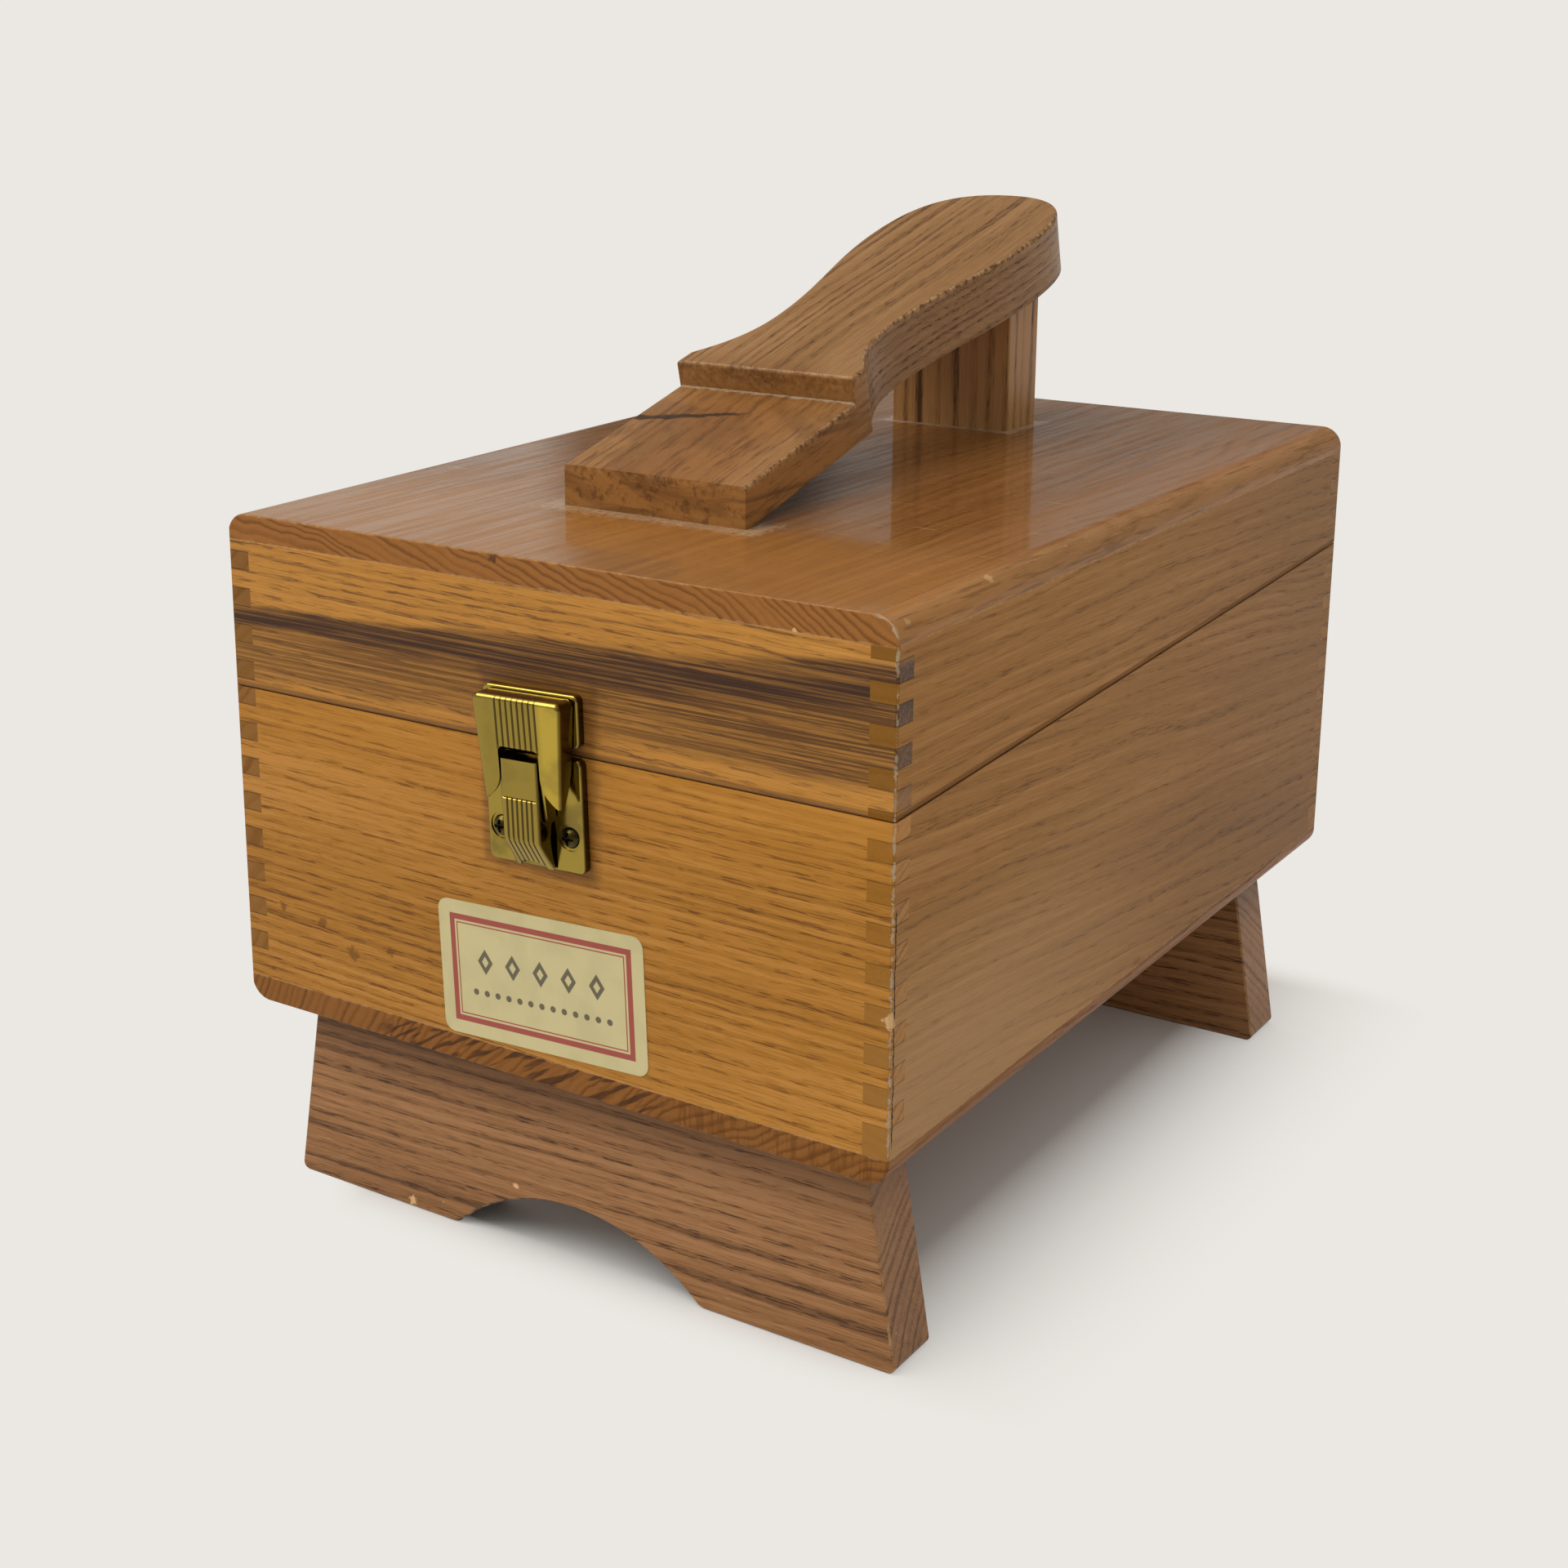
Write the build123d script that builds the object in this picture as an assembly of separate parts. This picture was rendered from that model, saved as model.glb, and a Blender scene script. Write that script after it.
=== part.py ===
from build123d import *
import math
import os

# A varnished oak shoe shine box: a finger-jointed box on two arched feet, its lid sawn from the
# finished box with a cut that rises to the rear, a sole-shaped foot rest on the lid, a brass
# draw latch at the front and two brass butt hinges at the rear.
# Sizes are in millimetres. X runs to the right of someone facing the front, the front faces -Y,
# Z is up, and the origin is on the floor under the middle of the whole object.

# Box and lid
box_width = 228.6
box_depth = 318.0
box_height = 155.5
wall = 8.0
panel_thickness = 8.0
panel_round = 7.0
corner_ease = 0.7
edge_ease = 0.6
lid_front_height = 53.5
lid_rear_height = 41.0
rim_gap = 0.4

# Finger joints, counted down from the top panel; the saw takes one kerf out of the pattern
finger_width = 5.65
first_finger = 3.4
glue_gap = 0.06
saw_kerf = 3.2

# Feet
foot_height = 64.5
foot_thickness = 20.6
foot_top_inset = 15.0
foot_floor_inset = 4.1
front_foot_inset = 14.0
rear_foot_inset = 19.5
foot_corner_radius = 2.5
foot_edge_ease = 0.6
arch_width = 90.0
arch_height = 18.5
arch_lead_radius = 5.0

# Foot rest: a board whose outline is a shoe sole, cut down at the heel, on one post
rest_x = -3.7
rest_front_inset = 63.3
rest_slope = 14.2
rest_thickness = 21.0
rest_seat_flat = 3.0
heel_thickness = 12.8
heel_length = 64.0
heel_width = 64.4
shoulder_at = 72.0
shoulder_lean = 36.0
shoulder_radius = 3.0
waist_width = 43.0
waist_at = 106.0
ball_width = 61.6
ball_at = 190.0
sole_length = 234.5
sole_edge_ease = 1.2
post_x = -4.0
post_width = 45.5
post_depth = 22.0
post_front_inset = 247.2

# Draw latch, measured from the front face (out) and from the seam (up); the whole latch sits a
# little askew, turned about a point below the seam
latch_x = 1.1
latch_turn = 2.0
latch_middle = -9.0
sheet = 0.8
plate_face = 2.6
plate_corner = 2.0
plate_round = 0.7
boss_radius = 4.6
dimple_radius = 3.9
dimple_depth = 0.4
base_width = 33.6
base_top = -0.9
base_bottom = -33.9
strike_width = 33.0
strike_bottom = 2.2
strike_top = 17.4
ledge_width = 22.0
ledge_reach = 6.6
ledge_top = 15.4
lever_width = 12.8
lever_foot_width = 15.0
lever_face = 9.2
lever_top = -1.3
lever_bend = -24.7
lever_flare = -26.4
lever_tip = -33.6
lever_tip_reach = 3.6
lever_edge_round = 1.1
lever_bend_round = 5.0
lever_line = -12.5
lever_line_size = 0.44
lever_pivot_out = 5.8
lever_pivot_up = -4.0
lever_cheek = 2.2
cheek_pivot_step = 0.4
cheek_bend_step = 1.2
thumb_notch_width = 9.5
thumb_notch_height = 2.0
hasp_pivot_out = 5.0
hasp_pivot_up = -17.2
hasp_eye = 2.0
hasp_top_width = 30.8
hasp_foot_width = 26.4
hasp_top = 16.5
hasp_foot = -14.1
hasp_top_face = 9.6
hasp_foot_face = 8.0
hasp_back = 3.0
hasp_foot_back = 7.0
hasp_back_straight = 0.0
hasp_round = 1.5
hasp_corner = 2.2
hasp_window_top = 2.0
hasp_window_round = 1.6
hasp_window_straight = -5.5
hasp_leg_tip = 0.7
hasp_side_gap = 0.6
arm_depth = 3.0
latch_pin_radius = 1.1
ear_side_gap = 0.3
ear_radius = 2.2
flute_size = 0.55
flute_lift = 0.6
hasp_flutes = 8
hasp_flute_pitch = 1.95
lever_flutes = 6
lever_flute_pitch = 1.7

# Butt hinges on the rear face
hinge_inset = 44.3
hinge_width = 38.0
leaf_height = 16.0
leaf_thickness = 1.2
barrel_radius = 2.4
barrel_gap = 0.3
knuckles = 5
knuckle_gap = 0.3
hinge_pin_radius = 1.0
hinge_head_radius = 1.9
hinge_head_height = 0.8

# Fasteners and fits; slot and dome sizes are shares of a screw's head radius or rise
running_gap = 0.05
screw_fit = 0.04
latch_screw_x = 11.9
latch_screw_drop = 23.7
strike_screw_x = 11.0
strike_screw_rise = 7.5
brass_head_radius = 3.1
brass_shank_radius = 1.2
brass_screw_length = 6.5
leaf_screw_x = 12.0
leaf_head_radius = 2.4
foot_screw_spacing = 130.0
foot_screw_length = 34.0
rest_screw_spacing = 26.0
heel_screw_inset = 9.5
heel_screw_length = 17.0
post_screw_length = 30.0
wood_head_radius = 4.0
wood_shank_radius = 2.0
wood_slot_depth = 0.8
leaf_slot_depth = 0.5
slot_reach = 1.25
slot_breadth = 0.26
dome_rise = 0.62
dome_slot = 0.6

# Label on the front
label_x = 0.5
label_width = 73.0
label_height = 41.5
label_thickness = 0.25
label_radius = 3.5
label_centre_up = 31.0
label_turn = 2.5

# Places that follow from the sizes
hasp_slant = (hasp_top_face - hasp_foot_face) / (hasp_top - hasp_foot)
latch_reach = hasp_top_face - hasp_slant * hasp_round
hinge_spacing = box_width - 2 * hinge_inset
foot_top_width = box_width - 2 * foot_top_inset
foot_floor_width = box_width - 2 * foot_floor_inset
hinge_axis_out = barrel_radius + barrel_gap
box_y = (latch_reach - hinge_axis_out - barrel_radius) / 2
front_y = box_y - box_depth / 2
rear_y = box_y + box_depth / 2
box_top = foot_height + box_height
frame_top = box_top - panel_thickness
frame_bottom = foot_height + panel_thickness
seam_front = box_top - lid_front_height
seam_rear = box_top - lid_rear_height
hasp_window_half = lever_width / 2 + hasp_side_gap
rest_front = front_y + rest_front_inset
rest_seat = rest_front + rest_seat_flat
post_front = front_y + post_front_inset
clear = 20.0


def save(name, *solids):
    """Writes one node, which may hold several like solids."""
    export_step(Compound(children=list(solids)), f"parts/{name}.step")


def slab(x_size, y_low, y_high, z_low, z_high, x_centre=0.0):
    """A block given by its width across X and its limits along Y and Z."""
    size = Box(x_size, y_high - y_low, z_high - z_low)
    return Pos(x_centre, (y_low + y_high) / 2, (z_low + z_high) / 2) * size


def side_prism(points, x_low, x_high):
    """A prism across X whose section is a list of (y, z) points."""
    face = Plane.YZ.offset(x_low) * Polygon(*points, align=None)
    return extrude(face, amount=x_high - x_low, dir=(1, 0, 0))


# ---------------------------------------------------------------- box and lid


def plan_prism():
    """The plan outline of the box with its eased upright corners, floor to top."""
    plan = Rectangle(box_width, box_depth)
    plan = chamfer(plan.vertices(), corner_ease)
    return Pos(0, box_y, 0) * extrude(plan, amount=box_top)


def above_seam(lift):
    """Everything above the slanting saw cut, raised by lift."""
    rise = (seam_rear - seam_front) / box_depth
    low, high = front_y - clear, rear_y + clear
    section = [
        (low, seam_front - rise * clear + lift),
        (high, seam_rear + rise * clear + lift),
        (high, box_top + clear),
        (low, box_top + clear),
    ]
    half = box_width / 2 + clear
    return side_prism(section, -half, half)


def finger_spans(shift):
    """Heights (low, high) of the fingers of one end, and of the other end's between them."""
    fingers, between = [], []
    high, upper = frame_top - first_finger + shift, frame_top
    while high - finger_width > frame_bottom:
        between.append((high, upper))
        fingers.append((high - finger_width, high))
        upper = high - finger_width
        high -= 2 * finger_width
    between.append((frame_bottom, upper))
    return fingers, between


def frame_board(length, shift):
    """One board with its outer face on y = 0: fingers at the right end, the gaps' at the left."""
    outer, root = length / 2, length / 2 - wall
    ends = []
    for spans in finger_spans(shift):
        end = [(root, frame_top)]
        for low, high in spans:
            high, low = high - glue_gap / 2, low + glue_gap / 2
            end += [(root, high), (outer, high), (outer, low), (root, low)]
        ends.append(end + [(root, frame_bottom)])
    right, left = ends
    outline = right + [(-x, up) for x, up in reversed(left)]
    return extrude(Plane.XZ * Polygon(*outline, align=None), amount=wall, dir=(0, 1, 0))


def frame_boards(shift):
    """The four boards in their places: front, right, rear and left."""
    boards = {}
    turns = (("front", 0, box_width, box_depth), ("right", 90, box_depth, box_width),
             ("rear", 180, box_width, box_depth), ("left", 270, box_depth, box_width))
    for name, angle, length, across in turns:
        board = Pos(0, -across / 2, 0) * frame_board(length, shift)
        boards[name] = Pos(0, box_y, 0) * Rot(0, 0, angle) * board & plan_prism()
    return boards


def panel(z_low, round_top):
    """A top or bottom panel with its two long outer edges rounded and its ends eased."""
    board = slab(box_width, front_y, rear_y, z_low, z_low + panel_thickness)
    outer = -1 if round_top else 0
    long_edges = board.edges().filter_by(Axis.Y).group_by(Axis.Z)[outer]
    board = fillet(long_edges, panel_round)
    ends = board.edges().filter_by(Axis.X).group_by(Axis.Z)[outer]
    return fillet(ends, edge_ease) & plan_prism()


# ----------------------------------------------------------------------- feet


def foot(y_front):
    """A foot board: wider at the floor, with a round arch whose ends flare into the floor."""
    half_top, half_floor = foot_top_width / 2, foot_floor_width / 2
    radius = ((arch_width / 2) ** 2 + arch_height**2) / (2 * arch_height)
    corners = [(-half_floor, 0), (half_floor, 0), (half_top, foot_height), (-half_top, foot_height)]
    outline = Polygon(*corners, align=None) - Pos(0, arch_height - radius) * Circle(radius)
    low = outline.vertices().group_by(Axis.Y)[0].sort_by(Axis.X)
    outline = fillet([low[0], low[-1]], foot_corner_radius)
    low = outline.vertices().group_by(Axis.Y)[0].sort_by(Axis.X)
    outline = fillet([low[1], low[2]], arch_lead_radius)
    board = extrude(Plane.XZ * outline, amount=foot_thickness, dir=(0, 1, 0))
    faces = board.faces().filter_by(Axis.Y)
    eased = [edge for face in faces for edge in face.edges() if edge.center().Z < foot_height - 1]
    return Pos(0, y_front, 0) * chamfer(eased, foot_edge_ease)


# ------------------------------------------------------------------ foot rest


def sole_outline():
    """The sole's plan, heel at the bottom: straight heel, drawn-in waist, wide ball, round toe."""
    heel, waist, ball = heel_width / 2, waist_width / 2, ball_width / 2
    lean = math.radians(shoulder_lean)
    lines = []
    for sign in (1, -1):
        shoulder = (sign * heel, shoulder_at)
        lines += [
            Line((sign * heel, -2 * rest_seat_flat), shoulder),
            Spline(shoulder, (sign * waist, waist_at),
                   tangents=((-sign * math.sin(lean), math.cos(lean)), (0, 1))),
            Spline((sign * waist, waist_at), (sign * ball, ball_at), tangents=((0, 1), (0, 1))),
            Spline((sign * ball, ball_at), (0, sole_length), tangents=((0, 1), (-sign, 0))),
        ]
    lines.append(Line((-heel, -2 * rest_seat_flat), (heel, -2 * rest_seat_flat)))
    outline = make_face(Curve() + lines)
    corners = [v for v in outline.vertices() if abs(v.Y - shoulder_at) < 0.1]
    return fillet(corners, shoulder_radius)


def rest_place():
    """Where the rest's underside starts on the lid, tilted up to the rear."""
    return Pos(rest_x, rest_seat, box_top) * Rot(rest_slope, 0, 0)


def foot_rest():
    """The sole board, rabbeted down at the heel, its front cut upright and seated on the lid."""
    board = extrude(sole_outline(), amount=rest_thickness)
    cut_low = slab(heel_width + clear, -clear, heel_length, heel_thickness, rest_thickness + 1)
    board -= cut_low
    top = board.faces().sort_by(Axis.Z)[-1]
    board = fillet(top.edges(), sole_edge_ease)
    heel_top = [e for e in board.edges().filter_by(Axis.Y)
                if abs(e.center().Z - heel_thickness) < 0.01]
    board = fillet(heel_top, sole_edge_ease)
    board = rest_place() * board
    before = slab(2 * heel_width, rest_front - clear, rest_front, box_top - clear,
                  box_top + clear, rest_x)
    below = slab(2 * heel_width, rest_front - clear, rear_y, box_top - clear, box_top, rest_x)
    return board - before - below


def rest_post():
    """The post under the ball of the rest, its top cut to the slope of the underside."""
    slope = math.tan(math.radians(rest_slope))
    rear = post_front + post_depth
    heights = [box_top + (y - rest_seat) * slope for y in (post_front, rear)]
    section = [(post_front, box_top), (rear, box_top), (rear, heights[1]), (post_front, heights[0])]
    post = side_prism(section, post_x - post_width / 2, post_x + post_width / 2)
    return fillet(post.edges().filter_by(Axis.Z), edge_ease)


# --------------------------------------------------------------------- screws


def cross_slot(radius, depth):
    """The cross in a screw head, cut down from z = 0."""
    arm = Box(slot_reach * radius, slot_breadth * radius, depth)
    return Pos(0, 0, -depth / 2) * (arm + Rot(0, 0, 90) * arm)


def flat_screw(head_radius, shank_radius, length, grow=0.0):
    """A countersunk screw pointing down, head flush with z = 0; grow widens it into its hole."""
    head = head_radius - shank_radius
    cone = Pos(0, 0, -head / 2) * Cone(shank_radius + grow, head_radius + grow, head)
    shank = Pos(0, 0, -(length + head) / 2) * Cylinder(shank_radius + grow, length - head + 2 * grow)
    return cone + shank


def dome_screw(head_radius, shank_radius, length):
    """A round-headed screw pointing down, the head standing on z = 0."""
    rise = dome_rise * head_radius
    ball = (head_radius**2 + rise**2) / (2 * rise)
    head = Pos(0, 0, rise - ball) * Sphere(ball)
    head &= Pos(0, 0, rise / 2) * Box(3 * head_radius, 3 * head_radius, rise)
    head -= Pos(0, 0, rise) * cross_slot(head_radius, dome_slot * rise)
    return head + Pos(0, 0, -length / 2) * Cylinder(shank_radius, length)


def drilled(part, holes):
    """A part with its screw holes cut."""
    for hole in holes:
        part -= hole
    return part


def foot_screw_places():
    """Two screws into each foot, down through the bottom panel."""
    insets = (front_y + front_foot_inset, rear_y - rear_foot_inset - foot_thickness)
    return [Pos(sign * foot_screw_spacing / 2, y + foot_thickness / 2, frame_bottom)
            for y in insets for sign in (-1, 1)]


def rest_screw_places():
    """Two screws up into the heel and two up into the post, from inside the lid."""
    heel_y = rest_front + heel_screw_inset
    post_y = post_front + post_depth / 2
    return [(Pos(x + sign * rest_screw_spacing / 2, y, frame_top) * Rot(180, 0, 0), length)
            for x, y, length in ((rest_x, heel_y, heel_screw_length),
                                 (post_x, post_y, post_screw_length))
            for sign in (-1, 1)]


def latch_place():
    """The latch's own frame on the front: X across it, -Y out of it, Z up from the seam."""
    middle = Pos(latch_x, front_y, seam_front + latch_middle)
    return middle * Rot(0, -latch_turn, 0) * Pos(0, 0, -latch_middle)


def front_screw_places(x, up):
    """A pair of screws into the front, either side of the latch, standing in their dimples."""
    return [latch_place() * Pos(sign * x, dimple_depth - plate_face, up) * Rot(90, 0, 0)
            for sign in (-1, 1)]


def leaf_screw_places(side):
    """Two screws into the rear through each of the two leaves above (1) or below (-1) the seam."""
    up = seam_rear + side * (barrel_radius + leaf_height) / 2
    return [Pos(hinge * hinge_spacing / 2 + sign * leaf_screw_x, rear_y + leaf_thickness, up)
            * Rot(-90, 0, 0) for hinge in (-1, 1) for sign in (-1, 1)]


def brass_holes(places):
    """Holes for round-headed brass screws, through the plate and into the board."""
    reach = brass_screw_length + screw_fit
    bore = Pos(0, 0, -reach / 2) * Cylinder(brass_shank_radius + screw_fit, reach)
    return [place * bore for place in places]


def leaf_screw(grow=0.0):
    """A small countersunk screw for a hinge leaf."""
    return flat_screw(leaf_head_radius, brass_shank_radius, brass_screw_length, grow)


# ---------------------------------------------------------------------- latch


def latch_prism(points, x_low, x_high):
    """A prism across the latch from (out, up) points."""
    section = [(-out, up) for out, up in points]
    return latch_place() * side_prism(section, x_low, x_high)


def latch_rod(out, up, radius, x_low, x_high):
    """A round rod or bore across the latch."""
    rod = Rot(0, 90, 0) * Cylinder(radius, x_high - x_low)
    return latch_place() * Pos((x_low + x_high) / 2, -out, up) * rod


def latch_block(outline, out_low, out_high):
    """A prism that stands out of the front from an (x, up) outline."""
    block = extrude(Plane.XZ * outline, amount=out_high - out_low, dir=(0, -1, 0))
    return latch_place() * Pos(0, -out_low, 0) * block


def pressed_plate(width, bottom, top, screws):
    """A shallow pressed pan, open to the wood, with round edges and a dimple at each screw."""
    size, middle = (width, top - bottom), Pos(0, (bottom + top) / 2)
    plate = latch_block(middle * RectangleRounded(*size, plate_corner), 0, plate_face)
    plate = fillet(plate.faces().sort_by(Axis.Y)[0].edges(), plate_round)
    inner = [side - 2 * sheet for side in size]
    hollow = middle * RectangleRounded(*inner, plate_corner - sheet)
    plate -= latch_block(hollow, -1, plate_face - sheet)
    boss = plate_face - dimple_depth
    for place in screws:
        plate += place * Pos(0, 0, -boss / 2) * Cylinder(boss_radius, boss)
        plate -= place * Pos(0, 0, dimple_depth / 2) * Cylinder(dimple_radius, dimple_depth)
    return drilled(plate, brass_holes(screws))


def latch_base():
    """The lower plate with the two ears that carry the lever's pin."""
    screws = front_screw_places(latch_screw_x, -latch_screw_drop)
    plate = pressed_plate(base_width, base_bottom, base_top, screws)
    outer = lever_width / 2 - sheet - ear_side_gap
    low, high = lever_pivot_up - 2 * ear_radius, lever_pivot_up + ear_radius
    tip = lever_pivot_up - ear_radius
    ear = [(0, low), (0, high), (lever_pivot_out, high), (lever_pivot_out, tip)]
    for x in (-outer, outer - sheet):
        plate += latch_prism(ear, x, x + sheet)
        plate += latch_rod(lever_pivot_out, lever_pivot_up, ear_radius, x, x + sheet)
    bore = latch_rod(lever_pivot_out, lever_pivot_up, latch_pin_radius + screw_fit / 2, -outer, outer)
    return plate - bore


def strike_plate():
    """The upper plate with the ledge that the hasp hooks over."""
    screws = front_screw_places(strike_screw_x, strike_screw_rise)
    plate = pressed_plate(strike_width, strike_bottom, strike_top, screws)
    low = ledge_top - sheet
    ledge = [(0, low), (0, ledge_top), (ledge_reach, ledge_top), (ledge_reach, low)]
    return plate + latch_prism(ledge, -ledge_width / 2, ledge_width / 2)


def flutes(part, count, pitch, foot_point, top_point):
    """Cuts upright V grooves in a face, from one (out, up) point to another."""
    (out_low, low), (out_high, high) = foot_point, top_point
    length = math.hypot(out_high - out_low, high - low)
    lean = math.degrees(math.atan2(out_high - out_low, high - low))
    groove = Rot(lean, 0, 0) * Rot(0, 0, 45) * Box(flute_size, flute_size, length)
    out, up = (out_low + out_high) / 2, (low + high) / 2
    grooves = [latch_place() * Pos((step - (count - 1) / 2) * pitch, -out, up) * groove
               for step in range(count)]
    return part - grooves


def lever_profile(inset):
    """The lever seen from the side: upright face, round bend and a ramp in to the tip."""
    face, tip = lever_face - inset, lever_tip_reach - inset
    line = Polyline((0, lever_top), (-face, lever_top), (-face, lever_bend), (-tip, lever_tip),
                    (0, lever_tip), close=True)
    outline = make_face(line)
    bend = outline.vertices().sort_by_distance((-face, lever_bend))[0]
    outline = fillet(bend, lever_bend_round - inset)
    half = lever_foot_width / 2 - inset
    return latch_place() * extrude(Plane.YZ.offset(-half) * outline, amount=2 * half, dir=(1, 0, 0))


def lever_front(half, foot):
    """The lever seen from the front: straight sides that flare in a curve down the ramp."""
    lines = [Line((-half, lever_top + 1), (half, lever_top + 1))]
    for sign in (1, -1):
        bend, tip = (sign * half, lever_flare), (sign * foot, lever_tip - 1)
        lines += [Line((sign * half, lever_top + 1), bend),
                  Spline(bend, tip, tangents=((0, -1), (sign * 0.3, -1)))]
    lines.append(Line((-foot, lever_tip - 1), (foot, lever_tip - 1)))
    return latch_block(make_face(Curve() + lines), -1, lever_face + 1)


def lever_block():
    """The lever before it is hollowed, its long front edges rounded from the top to the tip."""
    block = lever_profile(0) & lever_front(lever_width / 2, lever_foot_width / 2)
    long_edges = []
    for edge in block.edges():
        middle = (latch_place().inverse() * Pos(*edge.center())).position
        aside = abs(middle.X) > lever_width / 2 - 0.01
        if aside and -middle.Y > lever_tip_reach / 2 + 0.1 and lever_tip < middle.Z < lever_top - 0.1:
            long_edges.append(edge)
    return fillet(long_edges, lever_edge_round)


def latch_lever():
    """The handle: a fluted channel that bends in at its foot, with cheeks for the two pins."""
    half, foot = lever_width / 2, lever_foot_width / 2
    hollow = lever_profile(sheet) & lever_front(half - sheet, foot - sheet)
    back = hasp_pivot_out - hasp_eye
    ramp_back = lever_tip_reach - sheet / 2
    kept = [(lever_face + 1, lever_top + 1), (lever_face + 1, lever_tip), (ramp_back, lever_tip),
            (back + cheek_bend_step, lever_bend), (back, hasp_pivot_up),
            (back + cheek_pivot_step, lever_pivot_up),
            (lever_pivot_out, lever_pivot_up + lever_cheek), (lever_face - 1, lever_top + 1)]
    lever = (lever_block() - hollow) & latch_prism(kept, -foot, foot)
    bores = ((hasp_pivot_out, hasp_pivot_up, screw_fit / 2),
             (lever_pivot_out, lever_pivot_up, running_gap))
    for out, up, gap in bores:
        lever -= latch_rod(out, up, latch_pin_radius + gap, -half, half)
    notch = Pos(0, lever_tip) * Ellipse(thumb_notch_width / 2, thumb_notch_height)
    lever -= latch_block(notch, 0, lever_face)
    ramp = (lever_tip_reach + flute_lift, lever_tip + flute_lift), (lever_face, lever_bend)
    lever = flutes(lever, lever_flutes, lever_flute_pitch, *ramp)
    upright = (lever_face, lever_bend), (lever_face, lever_line)
    lever = flutes(lever, lever_flutes, lever_flute_pitch, *upright)
    line = Rot(45, 0, 0) * Box(lever_width + 1, lever_line_size, lever_line_size)
    return lever - latch_place() * Pos(0, -lever_face, lever_line) * line


def hasp_face(up, inward=0.0):
    """How far out the hasp's front stands at a height."""
    return hasp_foot_face + hasp_slant * (up - hasp_foot) - inward


def hasp_block(inset):
    """The hood as a tapered block with rounded shoulders and rims, drawn in by inset."""
    half_top, half_foot = hasp_top_width / 2 - inset, hasp_foot_width / 2 - inset
    top, low = hasp_top - inset, hasp_foot - 2 * inset
    corners = Polygon((-half_top, top), (half_top, top), (half_foot, low), (-half_foot, low),
                      align=None)
    shoulders = corners.vertices().group_by(Axis.Y)[-1]
    block = latch_block(fillet(shoulders, hasp_corner - inset), -2 * inset, hasp_top_face)
    half = hasp_top_width / 2
    side = [(-1 - 2 * inset, top + 1), (-1 - 2 * inset, low - 1), (hasp_face(low - 1, inset), low - 1),
            (hasp_face(top + 1, inset), top + 1)]
    block &= latch_prism(side, -half, half)
    front = block.faces().sort_by(Axis.Y)[0]
    lowest = front.edges().sort_by(Axis.Z)[0]
    rims = [edge for edge in front.edges() if edge.center().Z > lowest.center().Z + 1]
    return fillet(rims, hasp_round - inset)


def hasp_side():
    """What is kept of the hood seen from the side: its back edge curves out to the leg tips."""
    front, top, low = -hasp_top_face - 1, hasp_top + 1, hasp_foot - 1
    start, end = (-hasp_back, hasp_back_straight), (-hasp_foot_back, low)
    lines = [Line((-hasp_back, top), start), Spline(start, end, tangents=((0, -1), (-0.6, -0.8))),
             Line(end, (front, low)), Line((front, low), (front, top)),
             Line((front, top), (-hasp_back, top))]
    outline = make_face(Curve() + lines)
    half = hasp_top_width / 2
    return latch_place() * extrude(Plane.YZ.offset(-half) * outline, amount=2 * half, dir=(1, 0, 0))


def hasp_window():
    """The opening between the two legs: square at the slot, curving out to the pointed tips."""
    window, tip_x = hasp_window_half, hasp_foot_width / 2 - hasp_leg_tip
    lines = [Line((-window, hasp_window_top), (window, hasp_window_top))]
    for sign in (1, -1):
        corner, tip = (sign * window, hasp_window_straight), (sign * tip_x, hasp_foot)
        lines += [Line((sign * window, hasp_window_top), corner),
                  Spline(corner, tip, tangents=((0, -1), (sign * 0.8, -0.6))),
                  Line(tip, (sign * tip_x, hasp_foot - 1))]
    lines.append(Line((-tip_x, hasp_foot - 1), (tip_x, hasp_foot - 1)))
    opening = make_face(Curve() + lines)
    opening = fillet(opening.vertices().group_by(Axis.Y)[-1], hasp_window_round)
    return latch_block(opening, 0, hasp_top_face + 1)


def latch_hasp():
    """The catch: a fluted hood over the ledge, with two pointed legs and two eyes for its pin."""
    hasp = (hasp_block(0) - hasp_block(sheet)) & hasp_side()
    hasp -= hasp_window()
    arm_foot = hasp_pivot_up / 2
    arm = [(hasp_face(hasp_window_top, 0.5 * sheet), hasp_window_top + 2),
           (hasp_face(arm_foot, 0.5 * sheet), arm_foot), (hasp_pivot_out + hasp_eye, hasp_pivot_up),
           (hasp_pivot_out - hasp_eye, hasp_pivot_up), (hasp_pivot_out - hasp_eye / 2, arm_foot),
           (hasp_face(hasp_window_top, arm_depth), hasp_window_top + 2)]
    for x in (-hasp_window_half - sheet, hasp_window_half):
        hasp += latch_prism(arm, x, x + sheet)
        hasp += latch_rod(hasp_pivot_out, hasp_pivot_up, hasp_eye, x, x + sheet)
    reach = hasp_window_half + sheet
    hasp -= latch_rod(hasp_pivot_out, hasp_pivot_up, latch_pin_radius + running_gap, -reach, reach)
    low, high = hasp_window_top - 1, hasp_top + 1
    line = (hasp_face(low), low), (hasp_face(high), high)
    return flutes(hasp, hasp_flutes, hasp_flute_pitch, *line)


# --------------------------------------------------------------------- hinges


def hinge_rod(x_low, x_high, radius):
    """A round rod or bore along the hinge axis."""
    rod = Rot(0, 90, 0) * Cylinder(radius, x_high - x_low)
    return Pos((x_low + x_high) / 2, rear_y + hinge_axis_out, seam_rear) * rod


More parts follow.
